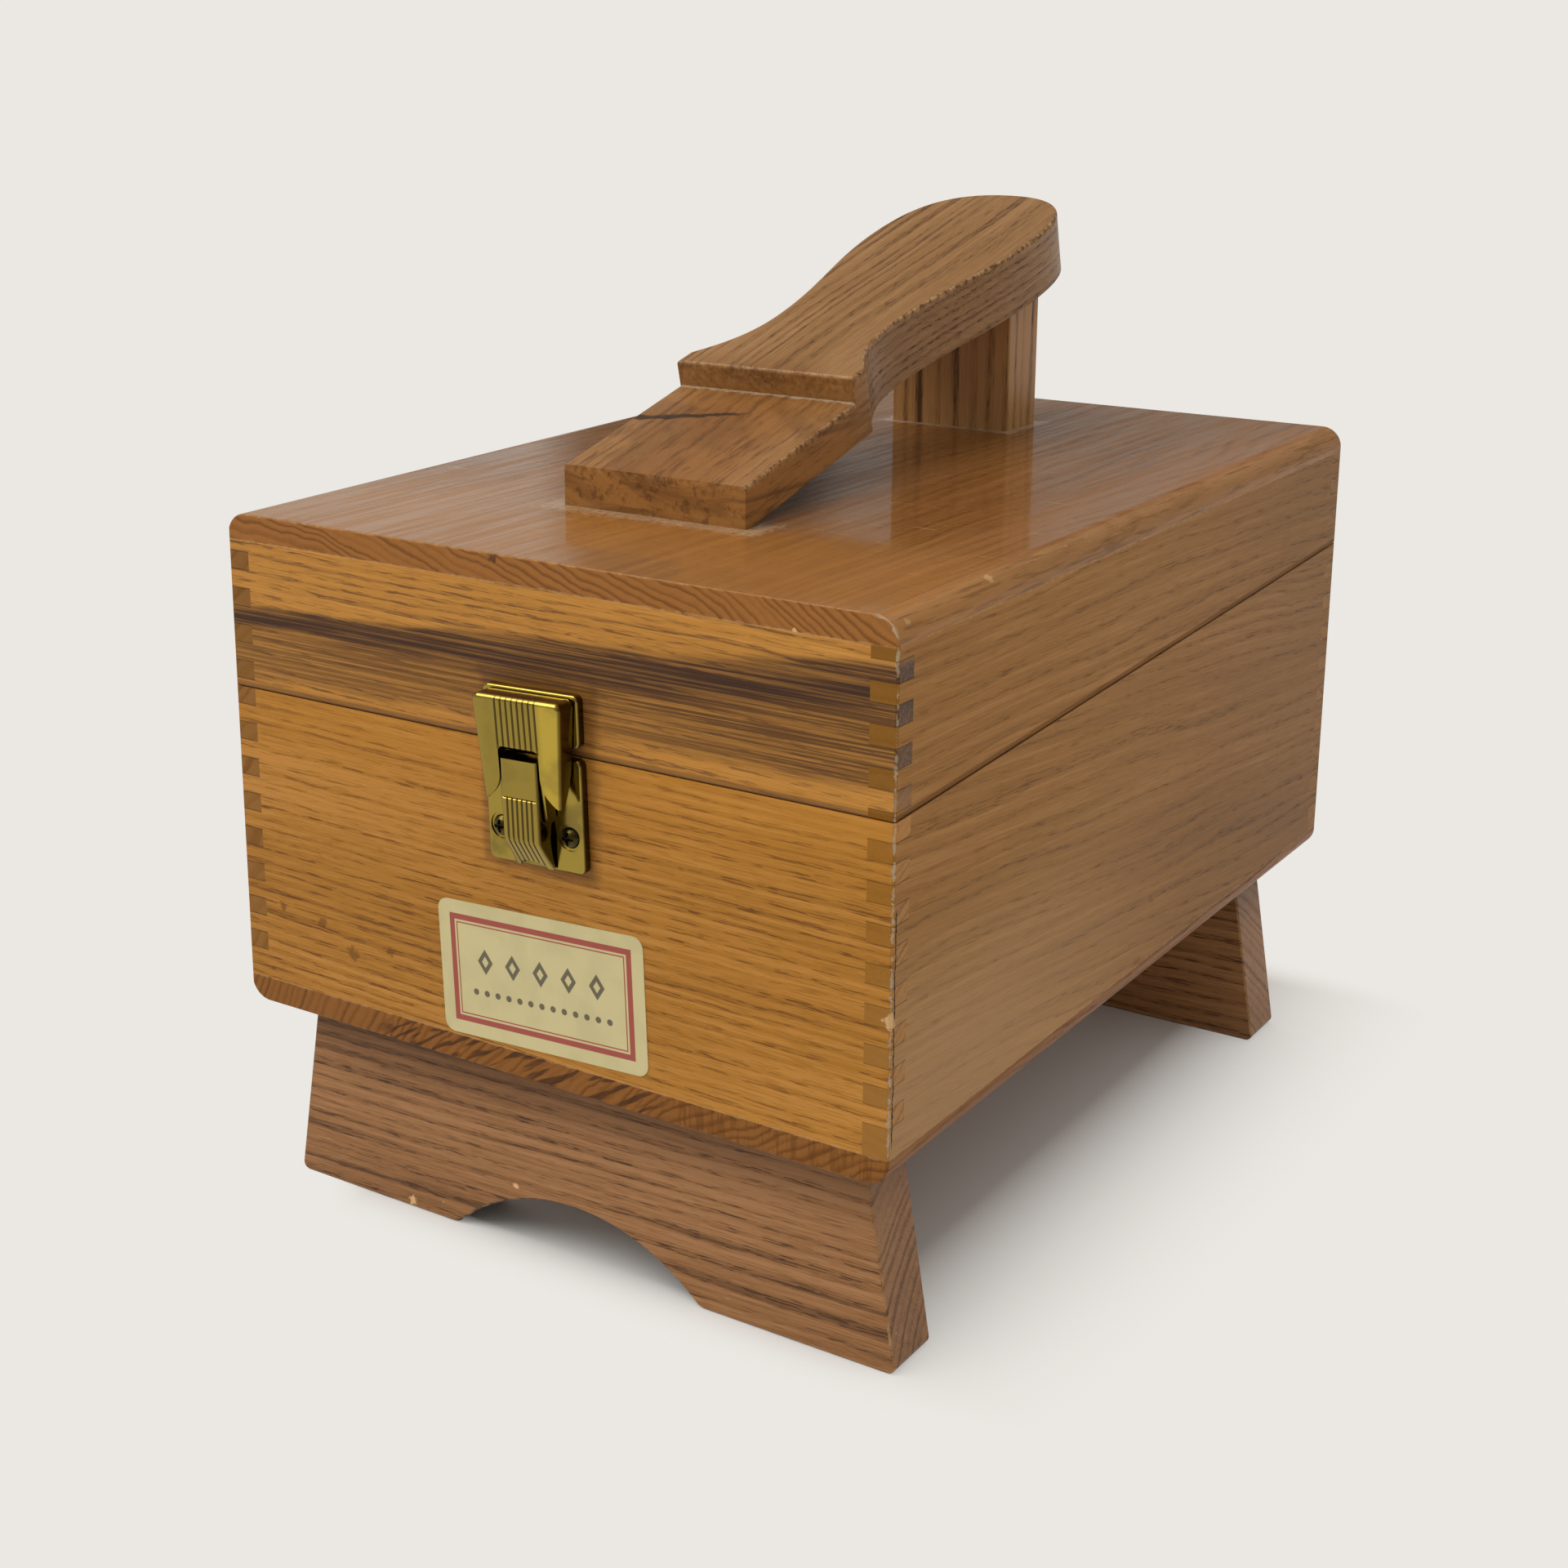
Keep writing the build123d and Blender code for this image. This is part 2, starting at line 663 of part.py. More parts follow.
def hinge_leaf(centre, side):
    """A leaf above (1) or below (-1) the axis: a screwed plate and its share of the knuckles."""
    low, high = centre - hinge_width / 2, centre + hinge_width / 2
    ends = sorted((seam_rear + side * (barrel_radius + leaf_height), seam_rear))
    plate = slab(hinge_width, rear_y, rear_y + leaf_thickness, *ends, centre)
    swept = barrel_radius + barrel_gap
    pitch = hinge_width / knuckles
    for index in range(knuckles):
        own = (index % 2 == 0) == (side < 0)
        x_low = low + index * pitch + knuckle_gap / 2
        x_high = x_low + pitch - knuckle_gap
        if own:
            plate += hinge_rod(x_low, x_high, barrel_radius)
        else:
            x_from = max(low, x_low - knuckle_gap)
            x_to = min(high, x_high + knuckle_gap)
            middle = (x_from + x_to) / 2
            gap = slab(x_to - x_from, rear_y - 1, rear_y + leaf_thickness + 1,
                       seam_rear - swept, seam_rear + swept, middle)
            plate -= gap
    plate -= hinge_rod(low - 1, high + 1, hinge_pin_radius + running_gap)
    holes = [place * leaf_screw(screw_fit) for place in leaf_screw_places(side)]
    return drilled(plate, holes)


def hinge_pin(centre):
    """A pin with a low head at each end of the barrel."""
    half = hinge_width / 2
    pin = hinge_rod(centre - half, centre + half, hinge_pin_radius)
    for x in (centre - half - hinge_head_height, centre + half):
        pin += hinge_rod(x, x + hinge_head_height, hinge_head_radius)
    return pin


# ---------------------------------------------------------------------- label


def front_label():
    """A thin foil label with round corners, stuck on slightly askew."""
    foil = extrude(RectangleRounded(label_width, label_height, label_radius), label_thickness)
    up = foot_height + label_centre_up
    return Pos(label_x, front_y, up) * Rot(90, 0, 0) * Rot(0, 0, label_turn) * foil


# ------------------------------------------------------------------- assembly


def build():
    """Makes every piece in its place and writes one file for each node."""
    os.makedirs("parts", exist_ok=True)
    body, lid = frame_boards(saw_kerf), frame_boards(0.0)
    upper, lower = above_seam(rim_gap / 2), above_seam(-rim_gap / 2)

    base_screws = front_screw_places(latch_screw_x, -latch_screw_drop)
    strike_screws = front_screw_places(strike_screw_x, strike_screw_rise)
    board_holes = {
        "front": brass_holes(base_screws + strike_screws),
        "rear": [place * leaf_screw(screw_fit) for side in (-1, 1)
                 for place in leaf_screw_places(side)],
    }
    for name in ("front", "right", "rear", "left"):
        holes = board_holes.get(name, [])
        save(f"{name}_board", drilled(body[name] - lower, holes))
        save(f"lid_{name}_board", drilled(lid[name] & upper, holes))

    def foot_screw(grow=0.0):
        return flat_screw(wood_head_radius, wood_shank_radius, foot_screw_length, grow)

    foot_holes = [place * foot_screw(screw_fit) for place in foot_screw_places()]
    save("bottom_panel", drilled(panel(foot_height, False), foot_holes))
    save("front_foot", drilled(foot(front_y + front_foot_inset), foot_holes))
    rear_foot_front = rear_y - rear_foot_inset - foot_thickness
    save("rear_foot", drilled(foot(rear_foot_front), foot_holes))
    slot = cross_slot(wood_head_radius, wood_slot_depth)
    save("foot_screws", *[place * (foot_screw() - slot) for place in foot_screw_places()])

    rest_screws = [(place, length) for place, length in rest_screw_places()]
    rest_holes = [place * flat_screw(wood_head_radius, wood_shank_radius, length, screw_fit)
                  for place, length in rest_screws]
    save("lid_top_panel", drilled(panel(frame_top, True), rest_holes))
    save("foot_rest", drilled(foot_rest(), rest_holes))
    save("rest_post", drilled(rest_post(), rest_holes))
    save("rest_screws", *[place * (flat_screw(wood_head_radius, wood_shank_radius, length) - slot)
                          for place, length in rest_screws])

    brass = dome_screw(brass_head_radius, brass_shank_radius, brass_screw_length)
    half = lever_width / 2
    eye = hasp_window_half + sheet
    save("latch_base", latch_base())
    save("latch_base_screws", *[place * brass for place in base_screws])
    save("strike_plate", strike_plate())
    save("strike_screws", *[place * brass for place in strike_screws])
    save("latch_lever", latch_lever())
    save("latch_hasp", latch_hasp())
    save("lever_pin", latch_rod(lever_pivot_out, lever_pivot_up, latch_pin_radius, -half, half))
    save("hasp_pin", latch_rod(hasp_pivot_out, hasp_pivot_up, latch_pin_radius, -eye, eye))

    centres = (-hinge_spacing / 2, hinge_spacing / 2)
    leaf_slot = cross_slot(leaf_head_radius, leaf_slot_depth)
    for side, name in ((-1, "lower"), (1, "upper")):
        for centre, hand in zip(centres, ("left", "right")):
            save(f"{hand}_hinge_{name}_leaf", hinge_leaf(centre, side))
        screws = [place * (leaf_screw() - leaf_slot) for place in leaf_screw_places(side)]
        save(f"{name}_leaf_screws", *screws)
    save("hinge_pins", *[hinge_pin(centre) for centre in centres])
    save("front_label", front_label())


build()
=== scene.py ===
"""Dresses the shoe shine box: varnished oak, brass, a foil label, a pale studio and the camera."""
import math

import bpy
import numpy as np
from bpy.props import FloatProperty, FloatVectorProperty, PointerProperty
from mathutils import Matrix, Vector


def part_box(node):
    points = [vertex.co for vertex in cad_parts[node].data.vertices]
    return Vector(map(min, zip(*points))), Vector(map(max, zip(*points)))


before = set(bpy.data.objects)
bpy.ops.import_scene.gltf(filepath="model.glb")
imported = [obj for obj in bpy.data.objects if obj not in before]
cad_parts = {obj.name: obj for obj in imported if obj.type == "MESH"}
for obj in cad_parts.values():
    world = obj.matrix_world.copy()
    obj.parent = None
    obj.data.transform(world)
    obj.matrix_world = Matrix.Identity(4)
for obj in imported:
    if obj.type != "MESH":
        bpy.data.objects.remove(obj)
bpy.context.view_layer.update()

bl_info = {
    "name": "Shoe Shine Box",
    "version": (1, 0, 0),
    "blender": (4, 5, 0),
    "location": "View3D > Sidebar > Shoe Box",
    "description": "Varnished oak, brass and studio for a finger-jointed shoe shine box",
    "category": "Object",
}

MM = 0.001


def paint(red, green, blue):
    """A colour written as it looks on a screen, 0 to 255, turned into light."""
    def light(level):
        level /= 255
        return level / 12.92 if level <= 0.04045 else ((level + 0.055) / 1.055) ** 2.4
    return light(red), light(green), light(blue)


def shaded(colour, share):
    """A colour made lighter or darker."""
    return [min(1.0, channel * share) for channel in colour]


def colour_property(name, description, colour):
    return FloatVectorProperty(name=name, description=description, subtype="COLOR", size=3,
                               min=0.0, max=1.0, default=paint(*colour))


def edges_of(nodes):
    """Lowest and highest corner, in millimetres, of the box round some nodes."""
    corners = [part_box(node) for node in nodes]
    low = [min(c[0][i] for c in corners) / MM for i in range(3)]
    high = [max(c[1][i] for c in corners) / MM for i in range(3)]
    return low, high


BODY_LOW, BODY_HIGH = edges_of(["front_board", "rear_board", "left_board", "right_board"])
LID_LOW, LID_HIGH = edges_of(["lid_front_board", "lid_rear_board", "lid_left_board",
                              "lid_right_board"])
TOP_LOW, TOP_HIGH = edges_of(["lid_top_panel"])
POST_LOW, POST_HIGH = edges_of(["rest_post"])
REST_LOW, REST_HIGH = edges_of(["foot_rest"])
LABEL_LOW, LABEL_HIGH = edges_of(["front_label"])
LATCH_LOW, LATCH_HIGH = edges_of(["latch_base", "strike_plate"])
SCREW_LOW, SCREW_HIGH = edges_of(["latch_base_screws"])
FRONT_Y = BODY_LOW[1]
SEAM = LID_LOW[2]
PANEL_ROUND = 7.0
LATCH_X, LATCH_MIDDLE, LATCH_TURN = 1.1, -9.0, math.radians(2.0)
# Count, pitch, lowest and highest place of the flutes
HASP_FLUTES = (8, 1.95, 2.4, 16.2)
LEVER_FLUTES = (6, 1.7, -33.6, -12.5)
LABEL_TURN, LABEL_HALF = math.radians(2.5), (36.5, 20.75)
FINGER_WIDTH = 5.65
FIRST_FINGER = 3.4
SAW_KERF = 3.2
WALL = 8.0
# Width of the rubbed edges of the boards and panels, in millimetres
EDGE_WEAR = 0.35
# The heart streak's height over the seam at the middle of the lid, its slope and its curve
STREAK = (25.6, 0.055, 0.00022)
# The knot line across the heel: y = -(slope * x + offset)
KNOT_LINE = (-0.32, 46.7)
# How far the dust reaches from the heel, from the post and from the sole's step
HEEL_DUST, POST_DUST, STEP_DUST = 11.0, 6.0, 2.6
# Small marks, as (centre, radius) in millimetres
FRONT_KNOTS = (((-99.0, FRONT_Y, SEAM - 69.0), 1.6), ((-83.0, FRONT_Y, SEAM - 70.5), 2.0),
               ((-71.0, FRONT_Y, SEAM - 78.0), 2.6), ((-56.0, FRONT_Y, SEAM - 74.0), 2.2))
CORNER_CHIP = (((114.3, FRONT_Y, 112.0), 2.6),)
TOP_DENTS = (((-13.5, FRONT_Y + 0.5, TOP_HIGH[2] - 1.0), 1.8),)
FOOT_CHIPS = (((-22.0, FRONT_Y + 14.0, 19.5), 1.2), ((-63.0, FRONT_Y + 14.0, 2.5), 2.0))
TOP_CHIPS = (((111.5, -103.0, 219.0), 2.0), ((113.5, -150.0, 217.5), 1.6),
             ((84.0, FRONT_Y, 212.3), 0.9))
# Where the heel's tread meets the step of the sole, and the step's height
STEP_FOOT = (0.0, -31.6, 248.3)
SOLE_STEP = 8.2
DUST = paint(178, 160, 134)


class BoxColours(bpy.types.PropertyGroup):
    """Colours and finish of the wood, the brass and the label."""
    board_gold: colour_property("Front Gold", "Sapwood side of the front boards", (166, 111, 34))
    board_brown: colour_property("Front Brown", "Streaks of the front boards", (114, 68, 16))
    board_dark: colour_property("Heart Streak", "Dark band across the lid front", (58, 34, 22))
    side_brown: colour_property("Side Brown", "Ground of the side boards", (150, 102, 42))
    side_dark: colour_property("Side Streak", "Streaks of the side boards", (108, 70, 30))
    panel_brown: colour_property("Panel Brown", "Ground of the top and bottom", (131, 82, 29))
    panel_dark: colour_property("Panel Streak", "Streaks of the top and bottom", (96, 56, 18))
    foot_brown: colour_property("Foot Brown", "Ground of the feet", (152, 106, 64))
    foot_dark: colour_property("Foot Streak", "Streaks of the feet", (84, 54, 30))
    rest_brown: colour_property("Rest Brown", "Ground of the foot rest", (140, 100, 56))
    rest_dark: colour_property("Rest Streak", "Streaks of the foot rest", (90, 56, 30))
    heel_orange: colour_property("Heel Orange", "Reddish varnish on the tread", (146, 95, 46))
    heel_amber: colour_property("Heel Amber", "Golden varnish round the heel", (166, 108, 40))
    bare_oak: colour_property("Bare Oak", "Worn edges", (196, 158, 112))
    brass_gold: colour_property("Brass", "Clean lacquered brass", (196, 168, 66))
    # Also the painted shade over the fluted faces, beside their painted highlight.
    brass_dull: colour_property("Dull Brass", "Tarnish in the corners", (136, 116, 54))
    # Also the painted shade in the screw heads and the painted dark reflection on faces that turn
    # to the right.
    brass_grime: colour_property("Brass Grime", "Grime in the flutes", (52, 42, 14))
    foil_ink: colour_property("Foil Ink", "Dark marks on the label", (84, 75, 60))
    foil_cream: colour_property("Foil Cream", "Ground of the label", (206, 193, 142))
    foil_red: colour_property("Foil Red", "Lines on the label", (158, 52, 50))
    varnish: FloatProperty(name="Varnish", description="Strength of the clear coat",
                           default=0.1, min=0.0, max=1.0, subtype="FACTOR")
    pore_depth: FloatProperty(name="Pore Depth", description="Depth of the open pores",
                              default=0.12 * MM, min=0.0, max=MM, unit="LENGTH")


class StudioSettings(bpy.types.PropertyGroup):
    """Floor, light and camera."""
    backdrop: colour_property("Backdrop", "Floor and background", (235, 232, 227))
    sky: FloatProperty(name="Sky", description="Light from all round", default=0.85, min=0.0)
    key: FloatProperty(name="Key", description="Light from the front left", default=1.5, min=0.0)
    mirror: FloatProperty(name="Mirror", description="Strength of the room in reflections",
                          default=0.2, min=0.0)
    softness: FloatProperty(name="Softness", description="Angle over which the key is spread",
                            default=math.radians(50), min=0.0, unit="ROTATION")
    lens: FloatProperty(name="Lens", description="Focal length in millimetres",
                        default=55.11, min=1.0)
    azimuth: FloatProperty(name="Azimuth", description="Camera's turn to the right of the front",
                           default=math.radians(34.284), unit="ROTATION")
    elevation: FloatProperty(name="Elevation", description="Camera's height as an angle",
                             default=math.radians(15.345), unit="ROTATION")
    roll: FloatProperty(name="Roll", description="Camera's tilt",
                        default=math.radians(-0.219), unit="ROTATION")
    place: FloatVectorProperty(name="Place", description="Where the camera stands", size=3,
                               subtype="TRANSLATION", unit="LENGTH",
                               default=(391.37 * MM, -659.25 * MM, 368.49 * MM))
    shift: FloatVectorProperty(name="Shift", description="Lens shift", size=2,
                               default=(0.0664, -0.0848))


# ------------------------------------------------------------ shader building


class Value:
    """What a socket gives, for use in formulas: +, -, *, / and abs() add math nodes."""

    def __init__(self, shader, socket):
        self.shader, self.socket = shader, socket

    def __add__(self, other):
        return self.shader.math("ADD", self, other)

    def __sub__(self, other):
        return self.shader.math("SUBTRACT", self, other)

    def __rsub__(self, other):
        return self.shader.math("SUBTRACT", other, self)

    def __mul__(self, other):
        return self.shader.math("MULTIPLY", self, other)

    def __truediv__(self, other):
        return self.shader.math("DIVIDE", self, other)

    def __abs__(self):
        return self.shader.math("ABSOLUTE", self)

    __radd__, __rmul__ = __add__, __mul__


class Shader:
    """A short way to add nodes to a tree and join them up."""

    def __init__(self, tree):
        self.tree = tree

    def add(self, kind, inputs=None, **settings):
        node = self.tree.nodes.new(kind)
        for key, value in settings.items():
            setattr(node, key, value)
        for key, value in (inputs or {}).items():
            self.feed(node.inputs[key], value)
        return node

    def feed(self, socket, value):
        if isinstance(value, Value):
            value = value.socket
        if isinstance(value, bpy.types.NodeSocket):
            self.tree.links.new(value, socket)
        elif socket.type == "RGBA" and len(value) == 3:
            socket.default_value = (*value, 1.0)
        else:
            socket.default_value = value

    def outputs(self, node):
        return {socket.name: Value(self, socket) for socket in node.outputs}

    def math(self, operation, *values, clamp=False):
        node = self.add("ShaderNodeMath", operation=operation, use_clamp=clamp)
        for socket, value in zip(node.inputs, values):
            self.feed(socket, value)
        return Value(self, node.outputs[0])

    def most(self, first, second):
        return self.math("MAXIMUM", first, second)

    def vector(self, operation, *values):
        node = self.add("ShaderNodeVectorMath", operation=operation)
        for socket, value in zip(node.inputs, values):
            self.feed(socket, value)
        result = "Value" if operation in ("LENGTH", "DOT_PRODUCT") else "Vector"
        return Value(self, node.outputs[result])

    def dot(self, first, second):
        return self.vector("DOT_PRODUCT", first, second)

    def split(self, vector):
        return [*self.outputs(self.add("ShaderNodeSeparateXYZ", {0: vector})).values()]

    def join(self, x, y, z):
        return Value(self, self.add("ShaderNodeCombineXYZ", {0: x, 1: y, 2: z}).outputs[0])

    def length(self, x, y, z=0.0):
        return self.vector("LENGTH", self.join(x, y, z))

    def stretch(self, vector, along, across, up=None):
        scale = (along, across, across if up is None else up)
        return self.vector("MULTIPLY", vector, scale)

    def noise(self, vector, detail=2.0, rough=0.5, distortion=0.0):
        node = self.add("ShaderNodeTexNoise", {"Vector": vector, "Scale": 1.0, "Detail": detail,
                                               "Roughness": rough, "Distortion": distortion})
        return Value(self, node.outputs[0])

    def veins(self, vector, along, across, detail=2.0, rough=0.5):
        """Noise with one scale along X and another across it."""
        return self.noise(self.stretch(vector, along, across), detail, rough)

    def swing(self, *values):
        """The same noise, spread to both sides of 0."""
        return self.veins(*values) - 0.5

    def fade(self, value, start, end, low=0.0, high=1.0):
        """Goes smoothly from low at start to high at end."""
        node = self.add("ShaderNodeMapRange", {"Value": value, "From Min": start, "From Max": end,
                                               "To Min": low, "To Max": high},
                        interpolation_type="SMOOTHSTEP", clamp=True)
        return Value(self, node.outputs[0])

    def mix(self, share, first, second):
        node = self.add("ShaderNodeMix", data_type="RGBA", clamp_factor=True)
        for index, value in ((0, share), (6, first), (7, second)):
            self.feed(node.inputs[index], value)
        return Value(self, node.outputs[2])

    def effect(self, build, **inputs):
        """Places the node group that build makes, built once, and returns its outputs."""
        name = build.__name__.removesuffix("_group").replace("_", " ").title()
        group = bpy.data.node_groups.get(name) or build(name)
        node = self.add("ShaderNodeGroup", node_tree=group)
        for key, value in inputs.items():
            self.feed(node.inputs[key.title()], value)
        return self.outputs(node)


KINDS = {"vector": "NodeSocketVector", "value": "NodeSocketFloat", "colour": "NodeSocketColor"}


def start_group(name, inputs, outputs):
    """An empty shader node group with named sockets: (tree, its inputs, its output node)."""
    tree = bpy.data.node_groups.new(name, "ShaderNodeTree")
    for label, kind in inputs.items():
        tree.interface.new_socket(label, in_out="INPUT", socket_type=KINDS[kind])
    for label, kind in outputs.items():
        tree.interface.new_socket(label, in_out="OUTPUT", socket_type=KINDS[kind])
    shader = Shader(tree)
    given = shader.outputs(shader.add("NodeGroupInput"))
    return shader, given, shader.add("NodeGroupOutput").inputs


def oak_figure_group(name):
    """Solid oak, in millimetres, grain along X. Growth rings are wavy cylinders round the X axis,
    of uneven width and weight, each with a soft dark early band. Long thin fibres, wider strands,
    short open pores crowded into the early bands and slow clouds of tone lie over them."""
    s, given, out = start_group(
        name,
        {"Vector": "vector", "Ring": "value", "Wave": "value", "Bands": "value",
         "Lines": "value", "Pores": "value", "Ground": "colour", "Streak": "colour"},
        {"Color": "colour", "Pore": "value", "Early": "value", "Tone": "value", "Fibre": "value"})
    place = given["Vector"]
    x, y, z = s.split(place)
    swing = s.swing(place, 0.0045, 0.014, 2.0)
    ripple = s.swing(place, 0.025, 0.12, 2.0)
    radius = s.length(y, z)
    warped = radius + swing * given["Wave"] + ripple * given["Wave"] * 0.12
    uneven = s.noise(s.join(x * 0.001, warped * 0.07, 3.7), 2.0)
    turns = uneven * 3.0 + warped / given["Ring"]
    phase = s.math("FRACT", turns)
    weight = s.noise(s.join(x * 0.006, warped * 0.3, 9.1), 1.0)
    early = (s.fade(phase, 0.0, 0.16) * s.fade(phase, 0.66, 0.22)
             * s.fade(weight, 0.36, 0.62, 0.3, 1.0))
    fibre = s.veins(place, 0.03, 1.7, 3.0, 0.66)
    strand = s.veins(place, 0.007, 0.42, 2.0, 0.5)
    dash = s.veins(place, 0.11, 2.1, 2.0, 0.6)
    pore = s.fade(dash, 0.54, 0.6) * (early * 0.75 + 0.25)
    slow = s.veins(place, 0.004, 0.03, 2.0, 0.5)
    depth = (0.34 + (early - 0.3) * given["Bands"] + (fibre - 0.5) * given["Lines"]
             + (strand - 0.5) * given["Lines"] * 0.6 + (slow - 0.5) * 0.9 + pore * given["Pores"])
    tone = s.math("ADD", depth, 0.0, clamp=True)
    light = s.vector("MULTIPLY_ADD", given["Ground"], (1.27, 1.3, 1.2), (0.01, 0.014, 0.022))
    s.feed(out["Color"], s.mix(s.fade(tone, 0.3, 1.0), s.mix(s.fade(tone, 0.0, 0.4), light,
                                                          given["Ground"]), given["Streak"]))
    s.feed(out["Pore"], pore)
    s.feed(out["Early"], early)
    s.feed(out["Tone"], slow)
    s.feed(out["Fibre"], fibre)
    return s.tree


def grain_ends_group(name):
    """1 where the surface cuts across the grain, from the piece's own normal and grain axis."""
    s, given, out = start_group(name, {"Normal": "vector", "Axis": "vector"}, {"Mask": "value"})
    across = abs(s.dot(given["Normal"], given["Axis"]))
    s.feed(out["Mask"], s.fade(across, 0.55, 0.85))
    return s.tree


def worn_edges_group(name):
    """1 close to the edges of a box: the middle one of the distances to its three pairs of
    faces is small there. Noise breaks the line up; Reach is its width in millimetres."""
    s, given, out = start_group(
        name, {"Vector": "vector", "Low": "vector", "High": "vector", "Reach": "value"},
        {"Mask": "value"})
    low = s.vector("ABSOLUTE", s.vector("SUBTRACT", given["Vector"], given["Low"]))
    high = s.vector("ABSOLUTE", s.vector("SUBTRACT", given["High"], given["Vector"]))
    x, y, z = s.split(s.vector("MINIMUM", low, high))
    middle = s.most(s.math("MINIMUM", x, y), s.math("MINIMUM", s.most(x, y), z))
    grit = s.veins(given["Vector"], 0.35, 0.35, 4.0, 0.65)
    width = given["Reach"] * s.fade(grit, 0.42, 0.66, 0.25, 1.9)
    s.feed(out["Mask"], s.fade(middle / width, 1.0, 0.45))
    return s.tree


def rounded_edges_group(name):
    """1 on the rounded edges of a flat piece: its normal lies between up and sideways there."""
    s, given, out = start_group(name, {"Normal": "vector", "Up": "vector", "Vector": "vector"},
                                {"Mask": "value"})
    lean = abs(s.dot(given["Normal"], given["Up"]))
    edge = s.fade(lean, 0.3, 0.5) * s.fade(lean, 0.97, 0.85)
    grit = s.veins(given["Vector"], 0.3, 0.3, 4.0, 0.65)
    s.feed(out["Mask"], edge * s.fade(grit, 0.42, 0.6))
    return s.tree


def specks_group(name):
    """Scattered dust and scuffs: small bright points and short scratches."""
    s, given, out = start_group(name, {"Vector": "vector", "Amount": "value"}, {"Mask": "value"})
    dots = s.outputs(s.add("ShaderNodeTexVoronoi", {"Vector": given["Vector"], "Scale": 0.16,
                                                    "Randomness": 1.0}))
    size = s.veins(given["Vector"], 0.05, 0.05, 1.0)
    near = s.fade(dots["Distance"], 0.09, 0.03)
    some = s.fade(size, 0.55, 0.62)
    scratch = s.fade(s.noise(s.stretch(given["Vector"], 0.05, 0.9, 0.9), 2.0, 0.5, 0.6), 0.70,
                     0.74)
    s.feed(out["Mask"], s.most(near * some, scratch) * given["Amount"])
    return s.tree


def finger_lines_group(name):
    """Dark glue lines of a finger joint: every Pitch millimetres in height, in the last Depth
    millimetres before a corner."""
    s, given, out = start_group(
        name, {"Vector": "vector", "Start": "value", "Pitch": "value", "Corner": "value",
               "Depth": "value"}, {"Mask": "value"})
    x, y, z = s.split(given["Vector"])
    from_corner = given["Corner"] - abs(x)
    inside = s.fade(from_corner, given["Depth"] + 0.15, given["Depth"])
    steps = (given["Start"] - z) / given["Pitch"]
    off = s.math("PINGPONG", steps, 0.5) * given["Pitch"]
    s.feed(out["Mask"], s.fade(off, 0.32, 0.08) * inside)
    return s.tree


def millimetres(s):
    """Object coordinates in millimetres, and the surface normal, both of the piece itself."""
    coordinates = s.add("ShaderNodeTexCoord")
    return s.vector("MULTIPLY", coordinates.outputs["Object"], (1 / MM,) * 3), \
        coordinates.outputs["Normal"]


def emptied(owner):
    """The shader of a material or world, with no node in it yet."""
    owner.use_nodes = True
    owner.node_tree.nodes.clear()
    return Shader(owner.node_tree)


def new_material(name):
    """An empty material with a Principled BSDF: (material, shader, the BSDF's inputs)."""
    material = bpy.data.materials.new(name)
    s = emptied(material)
    surface = s.add("ShaderNodeBsdfPrincipled")
    s.add("ShaderNodeOutputMaterial", {"Surface": surface.outputs[0]})
    return material, s, surface.inputs


# Turns that bring a piece's grain onto X before the oak figure is worked out
ALONG_X = (0.0, 0.0, 0.0)
ALONG_Y = (0.0, 0.0, -math.pi / 2)
UPRIGHT = (0.0, math.pi / 2, 0.0)
GRAIN_AXES = {ALONG_X: (1.0, 0.0, 0.0), ALONG_Y: (0.0, 1.0, 0.0), UPRIGHT: (0.0, 0.0, 1.0)}


